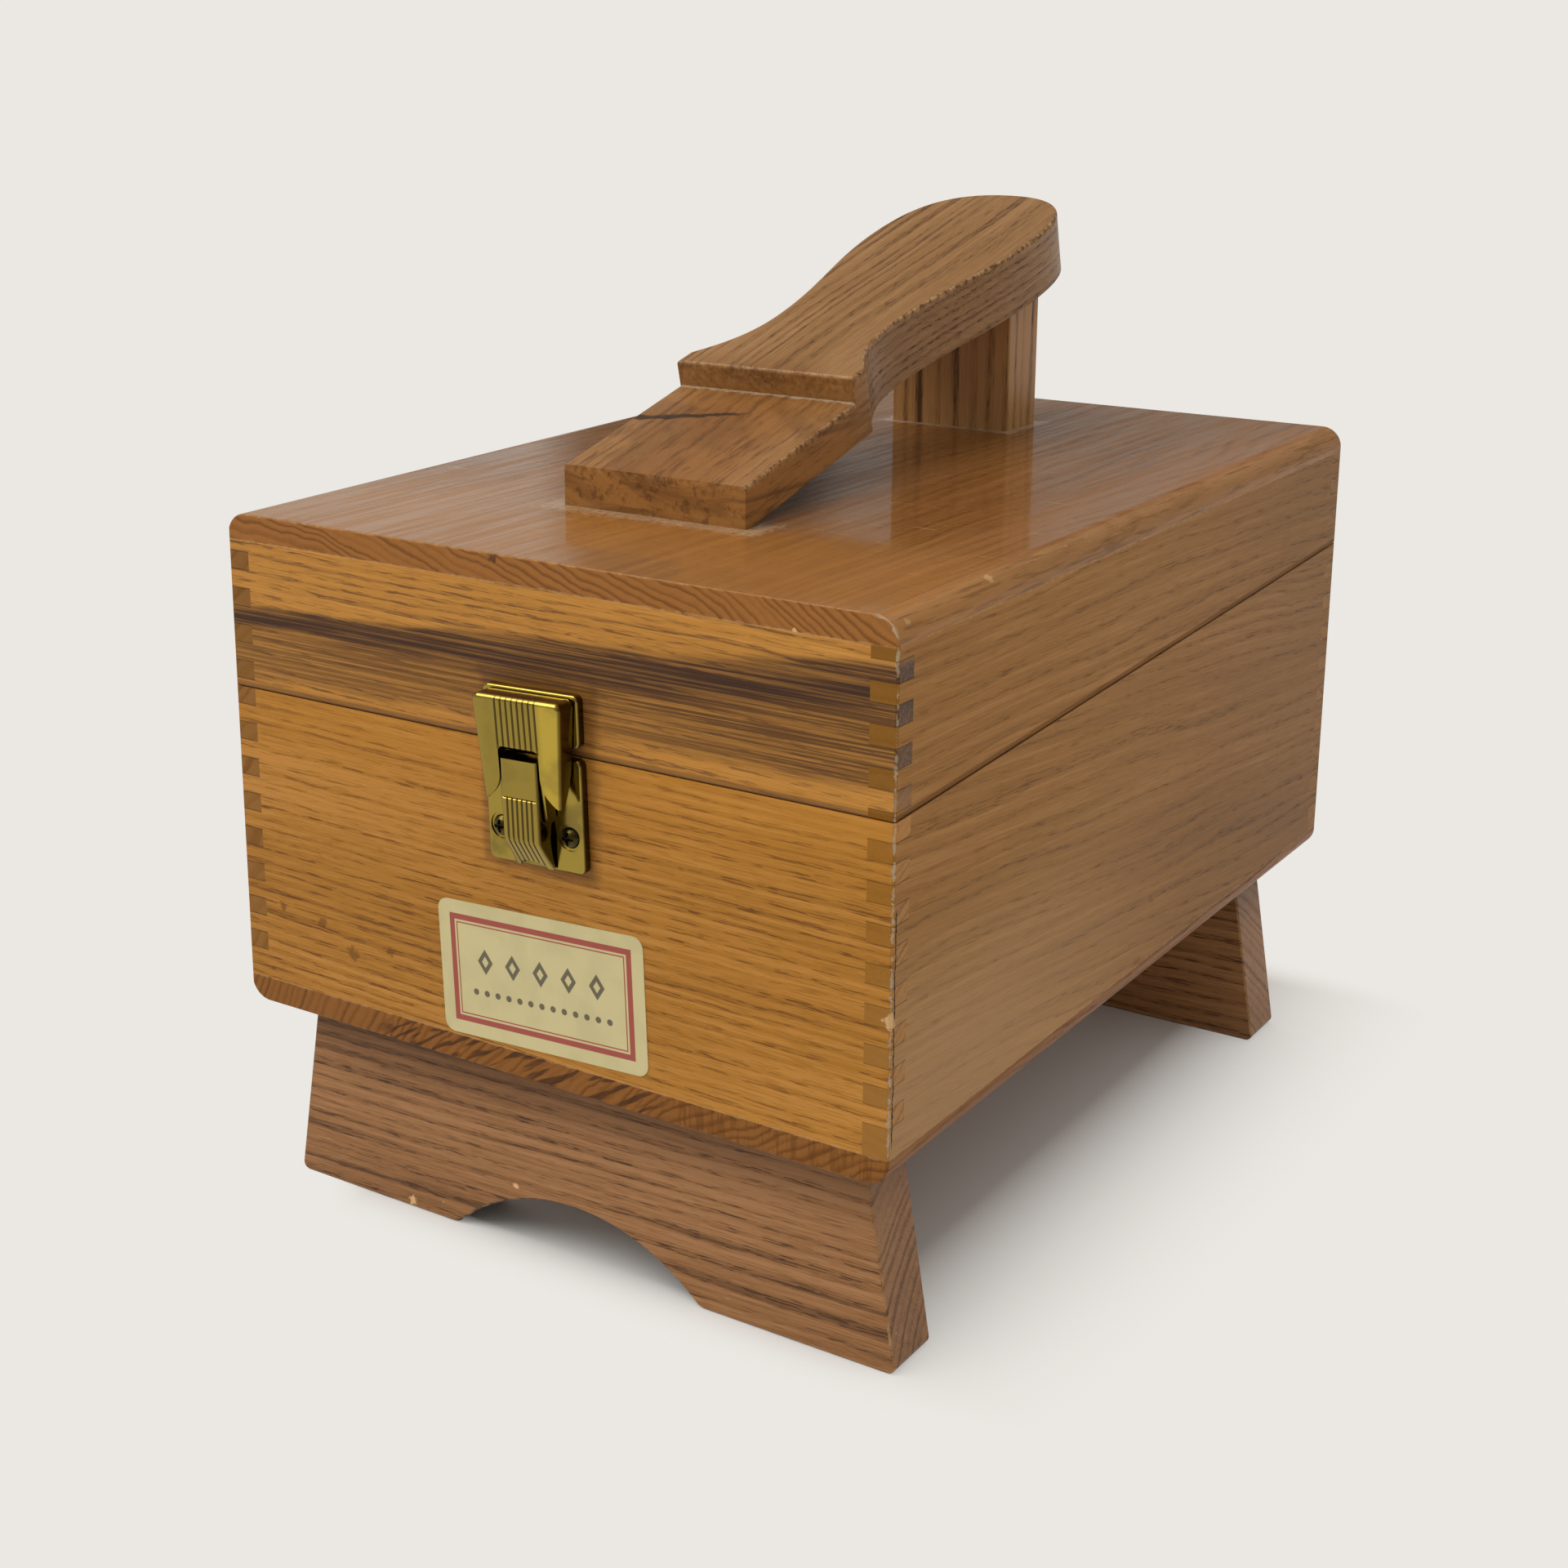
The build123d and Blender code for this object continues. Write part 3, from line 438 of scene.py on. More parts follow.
class Oak:
    """One board's varnished oak, to which marks can be added before it is finished."""

    def __init__(self, name, ground, streak, turn, pith, ring=2.6, wave=9.0, bands=0.4,
                 lines=0.9, pores=0.5, tilt=(0.0, 0.0, 0.0), axis=None, end_shade=0.6,
                 end_light=1.0):
        self.material, self.s, self.surface = new_material(name)
        s = self.s
        self.place, self.normal = millimetres(s)
        self.at = self.x, self.y, self.z = s.split(self.place)
        self.right, _, self.up = s.split(self.normal)
        angles = tuple(a + b for a, b in zip(turn, tilt))
        mapping = s.add("ShaderNodeMapping", {"Vector": self.place, "Location": pith,
                                              "Rotation": angles})
        self.grain = mapping.outputs[0]
        figure = s.effect(oak_figure_group, vector=self.grain, ring=ring, wave=wave, bands=bands,
                          lines=lines, pores=pores, ground=ground, streak=streak)
        self.pore, self.early, self.tone = figure["Pore"], figure["Early"], figure["Tone"]
        self.fibre = figure["Fibre"]
        ends = s.effect(grain_ends_group, normal=self.normal, axis=axis or GRAIN_AXES[turn])
        self.ends = ends["Mask"]
        pale = [channel * end_light + 0.012 for channel in ground]
        cut = s.mix(self.early * 0.5 + 0.2, pale, shaded(streak, 0.9))
        self.colour = s.mix(self.ends * end_shade, figure["Color"], cut)
        self.rough = self.pore * 0.16 + 0.4
        self.lift = self.pore * -1.0

    def stain(self, mask, colour, rough=None, lift=None):
        """Lays a colour over the wood where mask is 1."""
        s = self.s
        self.colour = s.mix(mask, self.colour, colour)
        if rough is not None:
            self.rough = mask * rough + self.rough
        if lift is not None:
            self.lift = mask * lift + self.lift

    def finish(self, colours, coat=None, coat_rough=0.16, pore_depth=None, specular=0.16):
        """Joins colour, roughness and pores to the surface and returns the material."""
        s, surface = self.s, self.surface
        s.feed(surface["Base Color"], self.colour)
        s.feed(surface["Roughness"], self.rough)
        surface["Specular IOR Level"].default_value = specular
        s.feed(surface["Coat Weight"], colours.varnish if coat is None else coat)
        surface["Coat Roughness"].default_value = coat_rough
        depth = colours.pore_depth if pore_depth is None else pore_depth
        bump = s.add("ShaderNodeBump", {"Strength": 0.6, "Distance": depth, "Height": self.lift})
        s.feed(surface["Normal"], bump.outputs[0])
        return self.material


def dress(material, *nodes):
    """Puts a material on CAD nodes, which keep their shape and place."""
    for node in nodes:
        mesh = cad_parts[node].data
        mesh.materials.clear()
        mesh.materials.append(material)


# ---------------------------------------------------------------------- wood


def add_worn_edges(oak, colours, low, high):
    """Pale, rubbed edges round the box from low to high."""
    edges = oak.s.effect(worn_edges_group, vector=oak.place, low=low, high=high, reach=EDGE_WEAR)
    oak.stain(edges["Mask"] * 0.3, colours.bare_oak, rough=0.2)


def add_front_corner(oak, colours):
    """The knocked front right edge: bare wood along the upright edge and round the top's curve,
    and the open glue line just behind it."""
    s = oak.s
    x, y, z = oak.at
    over_x = s.most(x - (BODY_HIGH[0] - PANEL_ROUND), 0.0)
    over_z = s.most(z - (TOP_HIGH[2] - PANEL_ROUND), 0.0)
    inside = PANEL_ROUND - s.length(over_x, over_z)
    distance = s.most(inside, y - FRONT_Y)
    grit = s.veins(oak.place, 0.34, 0.34, 4.0, 0.75)
    near = s.fade(x, BODY_HIGH[0] - 9.0, BODY_HIGH[0] - 4.0)
    width = s.fade(grit, 0.4, 0.72, 0.32, 1.0)
    worn = s.fade(distance / width, 1.15, 0.75)
    oak.stain(worn * near * 0.75, DUST, rough=0.25)
    # Painted shade in the open glue line: a broken, near-black line just behind the corner.
    wander = (grit - 0.5) * 2.2
    from_line = abs(distance + wander - 1.5)
    open_part = s.fade(s.noise(s.stretch(oak.place, 0.05, 0.05, 0.03), 2.0), 0.44, 0.52)
    below = s.fade(z, SEAM + 1.0, SEAM - 3.0)
    beside = s.fade(oak.right, 0.3, 0.7)
    crack = s.fade(from_line, 0.34, 0.12) * open_part * below * near * beside
    oak.stain(crack, (0.02, 0.012, 0.008), rough=0.4, lift=-3.0)
    add_spots(oak, CORNER_CHIP, shaded(colours.bare_oak, 1.2), 0.8)


def add_spots(oak, spots, colour, strength=1.0):
    """Small dents and chips, each given by its centre and radius in millimetres."""
    s = oak.s
    grit = s.swing(oak.place, 0.7, 0.7, 2.0) * 2.0
    for centre, radius in spots:
        away = s.vector("LENGTH", s.vector("SUBTRACT", oak.place, centre))
        inside = s.fade(grit * radius + away, radius, 0.5 * radius)
        oak.stain(inside * strength, colour, rough=0.2, lift=-1.5)


def add_finger_lines(oak, start, along, corner):
    """Glue lines between the fingers at both ends of a board that runs along X or Y."""
    s = oak.s
    centre = (BODY_LOW[1] + BODY_HIGH[1]) / 2
    run = oak.x if along == "x" else oak.y - centre
    lines = s.effect(finger_lines_group, vector=s.join(run, 0.0, oak.z),
                     start=start, pitch=FINGER_WIDTH, corner=corner, depth=WALL)
    oak.stain(lines["Mask"] * 0.5, (0.05, 0.025, 0.012))


def add_seam_grime(oak, colours):
    """A brown band just above the saw cut between body and lid, and painted shade in the cut
    itself; both rise to the rear.
    """
    s = oak.s
    rise = (BODY_HIGH[2] - SEAM) / (BODY_HIGH[1] - FRONT_Y)
    above = oak.z - ((oak.y - FRONT_Y) * rise + SEAM)
    upright = s.fade(abs(oak.up), 0.8, 0.5)
    # A brown band from the cut to about 1.6 mm above it.
    oak.stain(s.fade(above, 2.0, 1.2) * s.fade(above, -0.3, 0.0) * upright * 0.7,
              shaded(colours.board_brown, 0.85), rough=0.2)
    # Painted shade: a dark line along the saw cut itself.
    line = s.fade(abs(above), 0.5, 0.15, 0.0, 0.8)
    oak.stain(line * upright, shaded(colours.board_dark, 0.5), rough=0.2)


def board_oak(name, node, colours, ground, streak, along, pith, **figure):
    """The oak of one of the eight boards, with its fingers and edges."""
    turn = ALONG_X if along == "x" else ALONG_Y
    oak = Oak(name, ground, streak, turn, pith, **figure)
    lid = node.startswith("lid")
    start = LID_HIGH[2] - FIRST_FINGER + (0.0 if lid else SAW_KERF)
    half_depth = (BODY_HIGH[1] - BODY_LOW[1]) / 2
    add_finger_lines(oak, start, along, BODY_HIGH[0] if along == "x" else half_depth)
    low, high = (LID_LOW, LID_HIGH) if lid else (BODY_LOW, BODY_HIGH)
    add_worn_edges(oak, colours, low, high)
    add_seam_grime(oak, colours)
    return oak


def add_heart_streak(oak, colours):
    """A dark heart streak that rises to the right over the lid's front, brown wood below it."""
    s, x = oak.s, oak.x
    drift = s.swing(oak.place, 0.02, 0.06, 3.0) * 7.0
    height, slope, curve = STREAK
    centre = SEAM + height + x * slope + x * x * curve
    above = oak.z - centre + drift
    lines = s.fade(s.veins(oak.place, 0.01, 1.2, 3.0, 0.6), 0.4, 0.58)
    reach = s.most(x, 0.0) * -0.06 + -17.0
    brown = (s.fade(above, 2.0, -2.0) * s.fade(above, reach * 1.2, reach)
             * s.fade(above, reach, reach * 0.4, 0.8, 1.0))
    oak.stain(brown * (lines * 0.5 + 0.36) * s.fade(x, 10.0, 90.0, 1.0, 1.4),
              shaded(colours.side_dark, 0.8))
    within = above / s.fade(x, -60.0, 60.0, 1.0, 1.7)
    core = s.fade(within, 4.6, 2.2) * s.fade(within, -5.4, -1.8)
    oak.stain(core * (lines * 0.4 + 0.55), colours.board_dark)


def add_latch_shade(oak, colours):
    """Painted shade on the wood round the latch: a soft dark rim standing in for its shadow."""
    s = oak.s
    grit = s.swing(oak.place, 0.12, 0.12, 2.0) * 5.0
    away = outline_distance(oak, LATCH_LOW, LATCH_HIGH, (0, 2)) + grit
    # Painted shade: darker wood within a few millimetres of the latch's plates.
    oak.stain(s.fade(away, 4.5, 0.5, 0.0, 0.4), shaded(colours.board_dark, 0.8))


def dress_front_boards(colours):
    """Golden front boards; the lid's has a dark heart streak."""
    body = board_oak("front oak", "front_board", colours, colours.board_gold, colours.board_brown,
                     "x", (310.0, 40.0, 60.0), ring=2.9, wave=9.0, bands=0.3, lines=0.7,
                     pores=0.75, tilt=(0.0, math.radians(-1.2), 0.0), end_shade=0.45)
    high_up = body.s.fade(body.z, SEAM - 30.0, SEAM - 4.0, 0.0, 0.3)
    body.stain(high_up, shaded(colours.board_gold, 1.4))
    add_front_corner(body, colours)
    add_latch_shade(body, colours)
    add_spots(body, FRONT_KNOTS, shaded(colours.board_brown, 0.8), 0.6)
    dress(body.finish(colours), "front_board")

    lid = board_oak("lid front oak", "lid_front_board", colours, shaded(colours.board_gold, 1.2),
                    colours.board_brown, "x", (-520.0, 30.0, 90.0), ring=2.6, wave=12.0, bands=0.3,
                    lines=0.7, pores=0.85, tilt=(0.0, math.radians(-2.0), 0.0), end_shade=0.45)
    lid.stain(0.09, colours.bare_oak)
    add_heart_streak(lid, colours)
    add_latch_shade(lid, colours)
    add_front_corner(lid, colours)
    lid.stain(lid.ends * 0.5, shaded(colours.board_dark, 1.5))
    dress(lid.finish(colours), "lid_front_board")


def dress_other_boards(colours):
    """Greyer side boards with slanting grain, and the rear boards."""
    brown, dark, streak = colours.side_brown, colours.side_dark, colours.board_brown
    warm = shaded(brown, 1.15)
    plans = (
        ("right_board", "y", (120.0, 70.0, 140.0), brown, dark, 6.0, 0.3),
        ("lid_right_board", "y", (700.0, 90.0, 120.0), brown, dark, 2.0, 0.3),
        ("left_board", "y", (-240.0, 60.0, 90.0), warm, streak, 3.0, 0.85),
        ("lid_left_board", "y", (-980.0, 80.0, 60.0), brown, streak, 2.0, 0.85),
        ("rear_board", "x", (1400.0, -40.0, 90.0), warm, streak, 2.0, 0.5),
        ("lid_rear_board", "x", (-1500.0, -50.0, 70.0), brown, dark, 1.0, 0.5),
    )
    for node, along, pith, ground, lines, slant, end_shade in plans:
        lean = math.radians(slant)
        tilt = (0.0, lean, 0.0) if along == "x" else (lean, 0.0, 0.0)
        oak = board_oak(f"{node} oak", node, colours, ground, lines, along, pith, ring=5.0,
                        wave=26.0, bands=0.2, lines=0.85, pores=0.3, tilt=tilt,
                        end_shade=end_shade, end_light=0.75)
        if node.endswith("right_board"):
            oak.stain(oak.s.fade(oak.y, -60.0, 150.0, 0.0, 0.3), shaded(colours.side_dark, 0.9))
            low_front = oak.s.fade(oak.z, 150.0, 85.0) * oak.s.fade(oak.y, 60.0, -120.0)
            oak.stain(low_front * 0.5, shaded(colours.bare_oak, 0.8))
            gold = shaded(colours.board_gold, 0.55 if node.startswith("lid") else 0.8)
            oak.stain(oak.ends * 0.75, gold)
            add_front_corner(oak, colours)
        dress(oak.finish(colours, coat=0.03, specular=0.08), node)


def outline_distance(oak, low, high, axes=(0, 1)):
    """Millimetres outside a rectangle that lies in two axes, less than 0 inside it."""
    far = [oak.s.most(low[axis] - oak.at[axis], oak.at[axis] - high[axis]) for axis in axes]
    return oak.s.most(*far)


def add_dust_line(oak, away, reach, strength=0.85):
    """A broken line of pale dust where a piece stands on this one, away millimetres from it."""
    s = oak.s
    grit = s.veins(oak.place, 0.45, 0.45, 3.0, 0.65)
    width = s.fade(grit, 0.3, 0.7, reach * 0.45, reach)
    line = s.fade(away / width, 1.1, 0.5)
    broken = s.fade(s.veins(oak.place, 0.5, 0.5, 4.0, 0.7), 0.36, 0.56, 0.35, 1.0)
    upward = s.fade(oak.up, 0.3, 0.6)
    oak.stain(line * broken * upward * strength, DUST, rough=0.3, lift=0.5)


def dress_top_panel(colours):
    """Glossy top panel, its varnish rippled along the grain, with dust along the footings."""
    top = Oak("top panel oak", colours.panel_brown, colours.panel_dark, ALONG_Y,
              (90.0, -150.0, 200.0), ring=2.4, wave=24.0, bands=0.25, lines=0.6, pores=0.35,
              tilt=(0.0, 0.0, math.radians(2.0)), end_shade=0.85, end_light=1.65)
    s = top.s
    heel_low = (REST_LOW[0], REST_LOW[1])
    heel_high = (REST_HIGH[0], REST_LOW[1] + 3.0)
    for low, high, reach in ((heel_low, heel_high, HEEL_DUST), (POST_LOW, POST_HIGH, POST_DUST)):
        add_dust_line(top, outline_distance(top, low, high), reach)
    add_worn_edges(top, colours, TOP_LOW, TOP_HIGH)
    add_front_corner(top, colours)
    add_spots(top, TOP_CHIPS, shaded(colours.bare_oak, 1.2), 0.9)
    add_spots(top, TOP_DENTS, colours.board_dark, 0.7)
    specks = s.effect(specks_group, vector=top.place, amount=0.5)
    fine = s.effect(specks_group, vector=s.stretch(top.place, 2.3, 2.3), amount=1.0)
    marks = s.most(specks["Mask"], fine["Mask"] * s.fade(top.y, 30.0, -60.0))
    top.stain(marks * s.fade(top.up, 0.3, 0.6), colours.bare_oak, rough=0.2)
    # Amber over the front of the top: partly the varnish's own colour, partly a painted reflection
    # of the heel in the gloss.
    warm = s.fade(top.y, -50.0, -125.0, 0.0, 0.55)
    top.stain(warm * (1.0 - top.ends), colours.heel_amber)
    ripple = s.veins(top.grain, 0.012, 0.3, 3.0, 0.55)
    top.lift = top.lift + ripple * 12.0 + top.fibre * 0.8
    rounding = s.fade(top.up, 0.98, 0.9) * (1.0 - top.ends)
    dark_line = s.fade(s.veins(top.grain, 0.03, 0.7, 4.0, 0.65), 0.5, 0.62)
    top.stain(rounding * 0.2, colours.bare_oak)
    top.stain(rounding * (dark_line * 0.5 + 0.05), shaded(colours.side_dark, 0.85))
    flat = s.fade(top.up, 0.985, 0.9995)
    streaks = s.fade(s.veins(top.grain, 0.016, 0.42, 4.0, 0.62), 0.4, 0.6, 0.5, 1.0)
    dress(top.finish(colours, coat=flat * streaks, coat_rough=0.07, pore_depth=0.06 * MM),
          "lid_top_panel")


def dress_bottom_panel(colours):
    """The bottom panel; its front end shows dark slanted ring bars left of the middle."""
    bottom = Oak("bottom panel oak", colours.panel_brown, colours.panel_dark, ALONG_Y,
                 (400.0, 160.0, 90.0), ring=2.6, wave=22.0, end_shade=0.8, end_light=1.25)
    s, x, z = bottom.s, bottom.x, bottom.z
    slanted = z * -1.6 + x
    bars = s.fade(s.noise(s.join(slanted * 0.24, z * 0.1, 4.0), 2.0), 0.5, 0.6)
    there = s.fade(x, -66.0, -54.0) * s.fade(x, 48.0, 34.0)
    bottom.stain(bars * there * bottom.ends * 0.75, colours.board_dark)
    strokes = s.fade(s.noise(s.join(x * 0.9, z * 0.08, 6.0), 2.0), 0.45, 0.62)
    bottom.stain(strokes * s.fade(x, 36.0, 52.0) * bottom.ends * 0.4,
                 shaded(colours.panel_dark, 0.8))
    low, high = edges_of(["bottom_panel"])
    add_worn_edges(bottom, colours, low, high)
    dress(bottom.finish(colours, coat=0.03, specular=0.08), "bottom_panel")


def dress_feet(colours):
    """Brown feet, scuffed along the floor and the arch, with painted shade at their tops and under
    the arch.
    """
    for node, pith in (("front_foot", (640.0, 50.0, 70.0)), ("rear_foot", (-760.0, -40.0, 80.0))):
        foot = Oak(f"{node} oak", colours.foot_brown, colours.foot_dark, ALONG_X, pith,
                   ring=3.6, wave=10.0, bands=0.4, lines=1.1, pores=0.75,
                   tilt=(0.0, math.radians(1.5), 0.0), end_shade=0.35)
        s, z = foot.s, foot.z
        # Painted shade: the top of each foot darkens under the bottom panel's overhang.
        foot.stain(s.fade(z, 36.0, 64.0, 0.0, 0.6), shaded(colours.foot_dark, 0.85))
        # Painted shade: faces that look down, under the arch, are made almost black.
        below = s.fade(foot.up, -0.2, -0.7, 0.0, 0.85)
        foot.stain(below, shaded(colours.foot_dark, 0.2))
        rounded = s.effect(rounded_edges_group, normal=foot.normal,
                           up=(0.0, 1.0, 0.0), vector=foot.place)
        low_down = s.fade(z, 26.0, 6.0, 0.1, 0.6)
        foot.stain(rounded["Mask"] * low_down, colours.bare_oak, rough=0.2)
        specks = s.effect(specks_group, vector=foot.place, amount=0.8)
        foot.stain(specks["Mask"] * s.fade(z, 26.0, 5.0), colours.bare_oak, rough=0.2)
        if node == "front_foot":
            add_spots(foot, FOOT_CHIPS, shaded(colours.bare_oak, 1.5), 0.9)
        dress(foot.finish(colours), node)


def add_heel_marks(rest, colours):
    """Warm varnish over the heel, marbled dark figure in it and a dark knot line by the step."""
    s = rest.s
    x, y, z = rest.at
    low = s.fade(y, STEP_FOOT[1] + 14.0, STEP_FOOT[1] - 14.0)
    upright = s.fade(rest.up, 0.6, 0.3)
    rest.stain(low * s.fade(rest.tone, 0.3, 0.62, 0.35, 0.75), colours.heel_orange)
    rest.stain(low * upright * 0.6, colours.heel_amber)
    rest.stain(low * upright * 0.1, colours.bare_oak)
    x_slant = z * 1.1 + x
    marble = s.fade(s.noise(s.join(x_slant * 0.035, z * 0.13, 2.0), 3.0, 0.55, 0.8), 0.44, 0.62)
    figured = upright * 0.25 + 0.25
    rest.stain(marble * low * figured, shaded(colours.rest_dark, 0.6))
    smudge = s.fade(s.veins(rest.grain, 0.05, 0.3, 4.0, 0.75), 0.5, 0.64)
    rest.stain(smudge * low * 0.55, shaded(colours.rest_dark, 0.75))
    wobble = s.swing(rest.place, 0.12, 0.2, 3.0, 0.6)
    off = y + x * KNOT_LINE[0] + KNOT_LINE[1] + wobble * 7.0
    thick = s.fade(x, -2.0, -26.0, 1.3, 2.7)
    line = s.fade(abs(off) / thick, 1.1, 0.4) * s.fade(x, 2.0, -6.0)
    rest.stain(line * 0.85, (0.03, 0.016, 0.01))


def dress_foot_rest(colours):
    """The sole and its post: worn edges, a knot across the heel, warm varnish low down."""
    slope = math.atan2(POST_HIGH[2] - TOP_HIGH[2], POST_HIGH[1] - REST_LOW[1] - 3.0)
    along = (0.0, math.cos(slope), math.sin(slope))
    up = (0.0, -math.sin(slope), math.cos(slope))
    rest = Oak("foot rest oak", colours.rest_brown, colours.rest_dark, ALONG_Y,
               (60.0, 20.0, -285.0), ring=3.4, wave=12.0, bands=0.4, lines=0.8, pores=0.7,
               tilt=(-slope, 0.0, 0.0), axis=along, end_shade=0.35)
    s = rest.s
    add_heel_marks(rest, colours)
    rounded = s.effect(rounded_edges_group, normal=rest.normal, up=up, vector=rest.place)
    rest.stain(rounded["Mask"] * 0.35, colours.bare_oak, rough=0.2)
    dashes = s.fade(s.veins(rest.grain, 0.22, 1.1, 3.0, 0.6), 0.5, 0.64)
    rest.stain(dashes * (1.0 - rest.ends) * rounded["Mask"] * 0.55, shaded(colours.rest_dark, 0.7))
    from_step = s.vector("SUBTRACT", rest.place, STEP_FOOT)
    run, height = s.dot(from_step, along), s.dot(from_step, up)
    drop = s.fade(run, -0.5, 0.5, 0.0, SOLE_STEP) - height
    aside = s.fade(abs(s.dot(rest.normal, up)), 0.97, 0.8)
    band = s.fade(drop, 3.4, 0.6) * aside * (rest.ends * -0.65 + 1.0)
    fine = s.veins(rest.place, 0.5, 0.5, 4.0, 0.7)
    rest.stain(band * s.fade(fine, 0.5, 0.62) * 0.5, colours.bare_oak, rough=0.2)
    rest.stain(band * s.fade(fine, 0.49, 0.4) * 0.75, shaded(colours.rest_dark, 0.6))
    add_dust_line(rest, s.length(run, height), STEP_DUST, 0.75)
    dress(rest.finish(colours), "foot_rest")

    post = Oak("rest post oak", shaded(colours.rest_brown, 1.35), shaded(colours.rest_dark, 0.7),
               UPRIGHT, (300.0, 60.0, 140.0), ring=4.6, wave=6.0, bands=0.75, pores=0.5)
    dress(post.finish(colours), "rest_post")


# -------------------------------------------------------------- brass and foil


def brass(name, colours, rough=0.2, flutes=None, recesses=(), dull=0.45):
    """Pressed brass under lacquer: bright, with faint slow tarnish and fine rub marks. Flutes
    gives a fluted face as (count, pitch, lowest and highest place up from the seam); its
    grooves hold grime, and the face is painted darker but for a painted highlight along its
    right edge. Recesses are the places of screw heads, whose middles and rims get painted
    shade. Faces that turn to the right get a painted dark reflection."""
    material, s, surface = new_material(name)
    place, normal = millimetres(s)
    tarnish = s.fade(s.veins(place, 0.09, 0.09, 3.0, 0.5), 0.45, 0.75)
    rub = s.noise(s.stretch(place, 0.8, 0.8, 6.0), 2.0, 0.6)
    colour = s.mix(s.fade(tarnish, 0.0, 1.0, dull - 0.45, dull), colours.brass_gold,
                   colours.brass_dull)
    if flutes:
        count, pitch, low, high = flutes
        from_turn = s.vector("SUBTRACT", place, (LATCH_X, FRONT_Y, SEAM + LATCH_MIDDLE))
        lean_cos, lean_sin = math.cos(LATCH_TURN), math.sin(LATCH_TURN)
        across = s.dot(from_turn, (lean_cos, 0.0, lean_sin))
        up = s.dot(from_turn, (-lean_sin, 0.0, lean_cos)) + LATCH_MIDDLE
        step = s.math("PINGPONG", across / pitch, 0.5)
        off = (0.5 - step) * pitch
        half = 0.5 * count * pitch
        groove = (s.fade(off, 0.42, 0.16) * s.fade(abs(across), half, half - 0.2)
                  * s.fade(up, low - 0.3, low) * s.fade(up, high + 0.3, high)
                  * s.fade(s.split(normal)[1], -0.2, -0.5))
        # Painted shade over the face, leaving a painted highlight along its right edge where the
        # curved hasp catches the light.
        face_with_painted_highlight = s.mix(s.fade(across, 9.5, 5.5, 0.0, 0.7), colour, colours.brass_dull)
        colour = s.mix(groove * 0.55, face_with_painted_highlight, colours.brass_grime)
    # Painted shade: a dark middle in each screw head's cross slot and a dark ring round its rim.
    for centre in recesses:
        out = s.vector("LENGTH", s.vector("MULTIPLY", s.vector("SUBTRACT", place, centre),
                                          (1.0, 0.0, 1.0)))
        dark = s.most(s.fade(out, 1.7, 1.0), s.fade(out, 2.7, 3.05))
        colour = s.mix(dark * 0.85, colour, shaded(colours.brass_grime, 0.4))
    # Painted dark reflection: faces that turn to the right are darkened, standing in for the dark
    # wood they mirror.
    aside = s.fade(s.split(normal)[0], 0.35, 0.85, 0.0, 0.8)
    s.feed(surface["Base Color"], s.mix(aside, colour, shaded(colours.brass_grime, 0.8)))
    s.feed(surface["Roughness"], rough - 0.03 + rub * 0.06 + tarnish * 0.05)
    surface["Metallic"].default_value = 1.0
    surface["Coat Weight"].default_value = 0.15
    bump = s.add("ShaderNodeBump", {"Strength": 0.12, "Distance": 0.04 * MM, "Height": rub})
    s.feed(surface["Normal"], bump.outputs[0])
    return material


def screw_steel():
    """Dull plated steel with a faint turned grain."""
    material, s, surface = new_material("screw steel")
    grain = s.veins(millimetres(s)[0], 1.4, 1.4, 3.0, 0.6)
    s.feed(surface["Base Color"], s.mix(grain, paint(120, 116, 110), paint(172, 168, 160)))
    s.feed(surface["Roughness"], s.fade(grain, 0.3, 0.7, 0.28, 0.5))
    surface["Metallic"].default_value = 1.0
    return material


def label_foil(colours):
    """Cream foil with a plain red frame, a row of dark lozenges and a row of small dots."""
    material, s, surface = new_material("label foil")
    place = millimetres(s)[0]
    centre = [(low + high) / 2 for low, high in zip(LABEL_LOW, LABEL_HIGH)]
    local = s.add("ShaderNodeMapping", {"Vector": s.vector("SUBTRACT", place, centre),
                                        "Rotation": (0.0, LABEL_TURN, 0.0)}).outputs[0]
    x, y, z = s.split(local)
    side, height = abs(x), abs(z)
    inset = s.math("MINIMUM", LABEL_HALF[0] - side, LABEL_HALF[1] - height)

    def rule(at, half):
        return s.fade(abs(inset - at), half + 0.12, half - 0.05)

    red = s.most(rule(5.0, 0.85), rule(6.7, 0.16))
    step = s.math("PINGPONG", x / 10.0, 0.5) * 10.0
    lozenge = step + abs(z - 3.2) * 0.7
    upper = s.fade(lozenge, 2.9, 2.6) * s.fade(side, 25.2, 25.0)
    hollow = s.fade(lozenge, 1.1, 1.35)
    dot = s.length(s.math("PINGPONG", x / 4.0, 0.5) * 4.0, z + 6.6)
    lower = s.fade(dot, 1.1, 0.85) * s.fade(side, 26.2, 26.0)
    ink = s.most(upper * hollow, lower)
    crinkle = s.veins(place, 0.1, 0.1, 2.0, 0.5)
    ground = s.mix(s.fade(crinkle, 0.4, 0.7), colours.foil_cream, shaded(colours.foil_cream, 0.93))
    printed = s.mix(red * 0.92, ground, colours.foil_red)
    s.feed(surface["Base Color"], s.mix(ink * 0.9, printed, colours.foil_ink))
    s.feed(surface["Roughness"], s.fade(crinkle, 0.3, 0.7, 0.36, 0.46))
    surface["Metallic"].default_value = 0.25
    fold = s.noise(s.stretch(local, 0.03, 0.2, 0.2), 2.0, 0.5)
    bump = s.add("ShaderNodeBump",
                 {"Strength": 0.2, "Distance": 0.3 * MM, "Height": crinkle + fold})
    s.feed(surface["Normal"], bump.outputs[0])
    return material


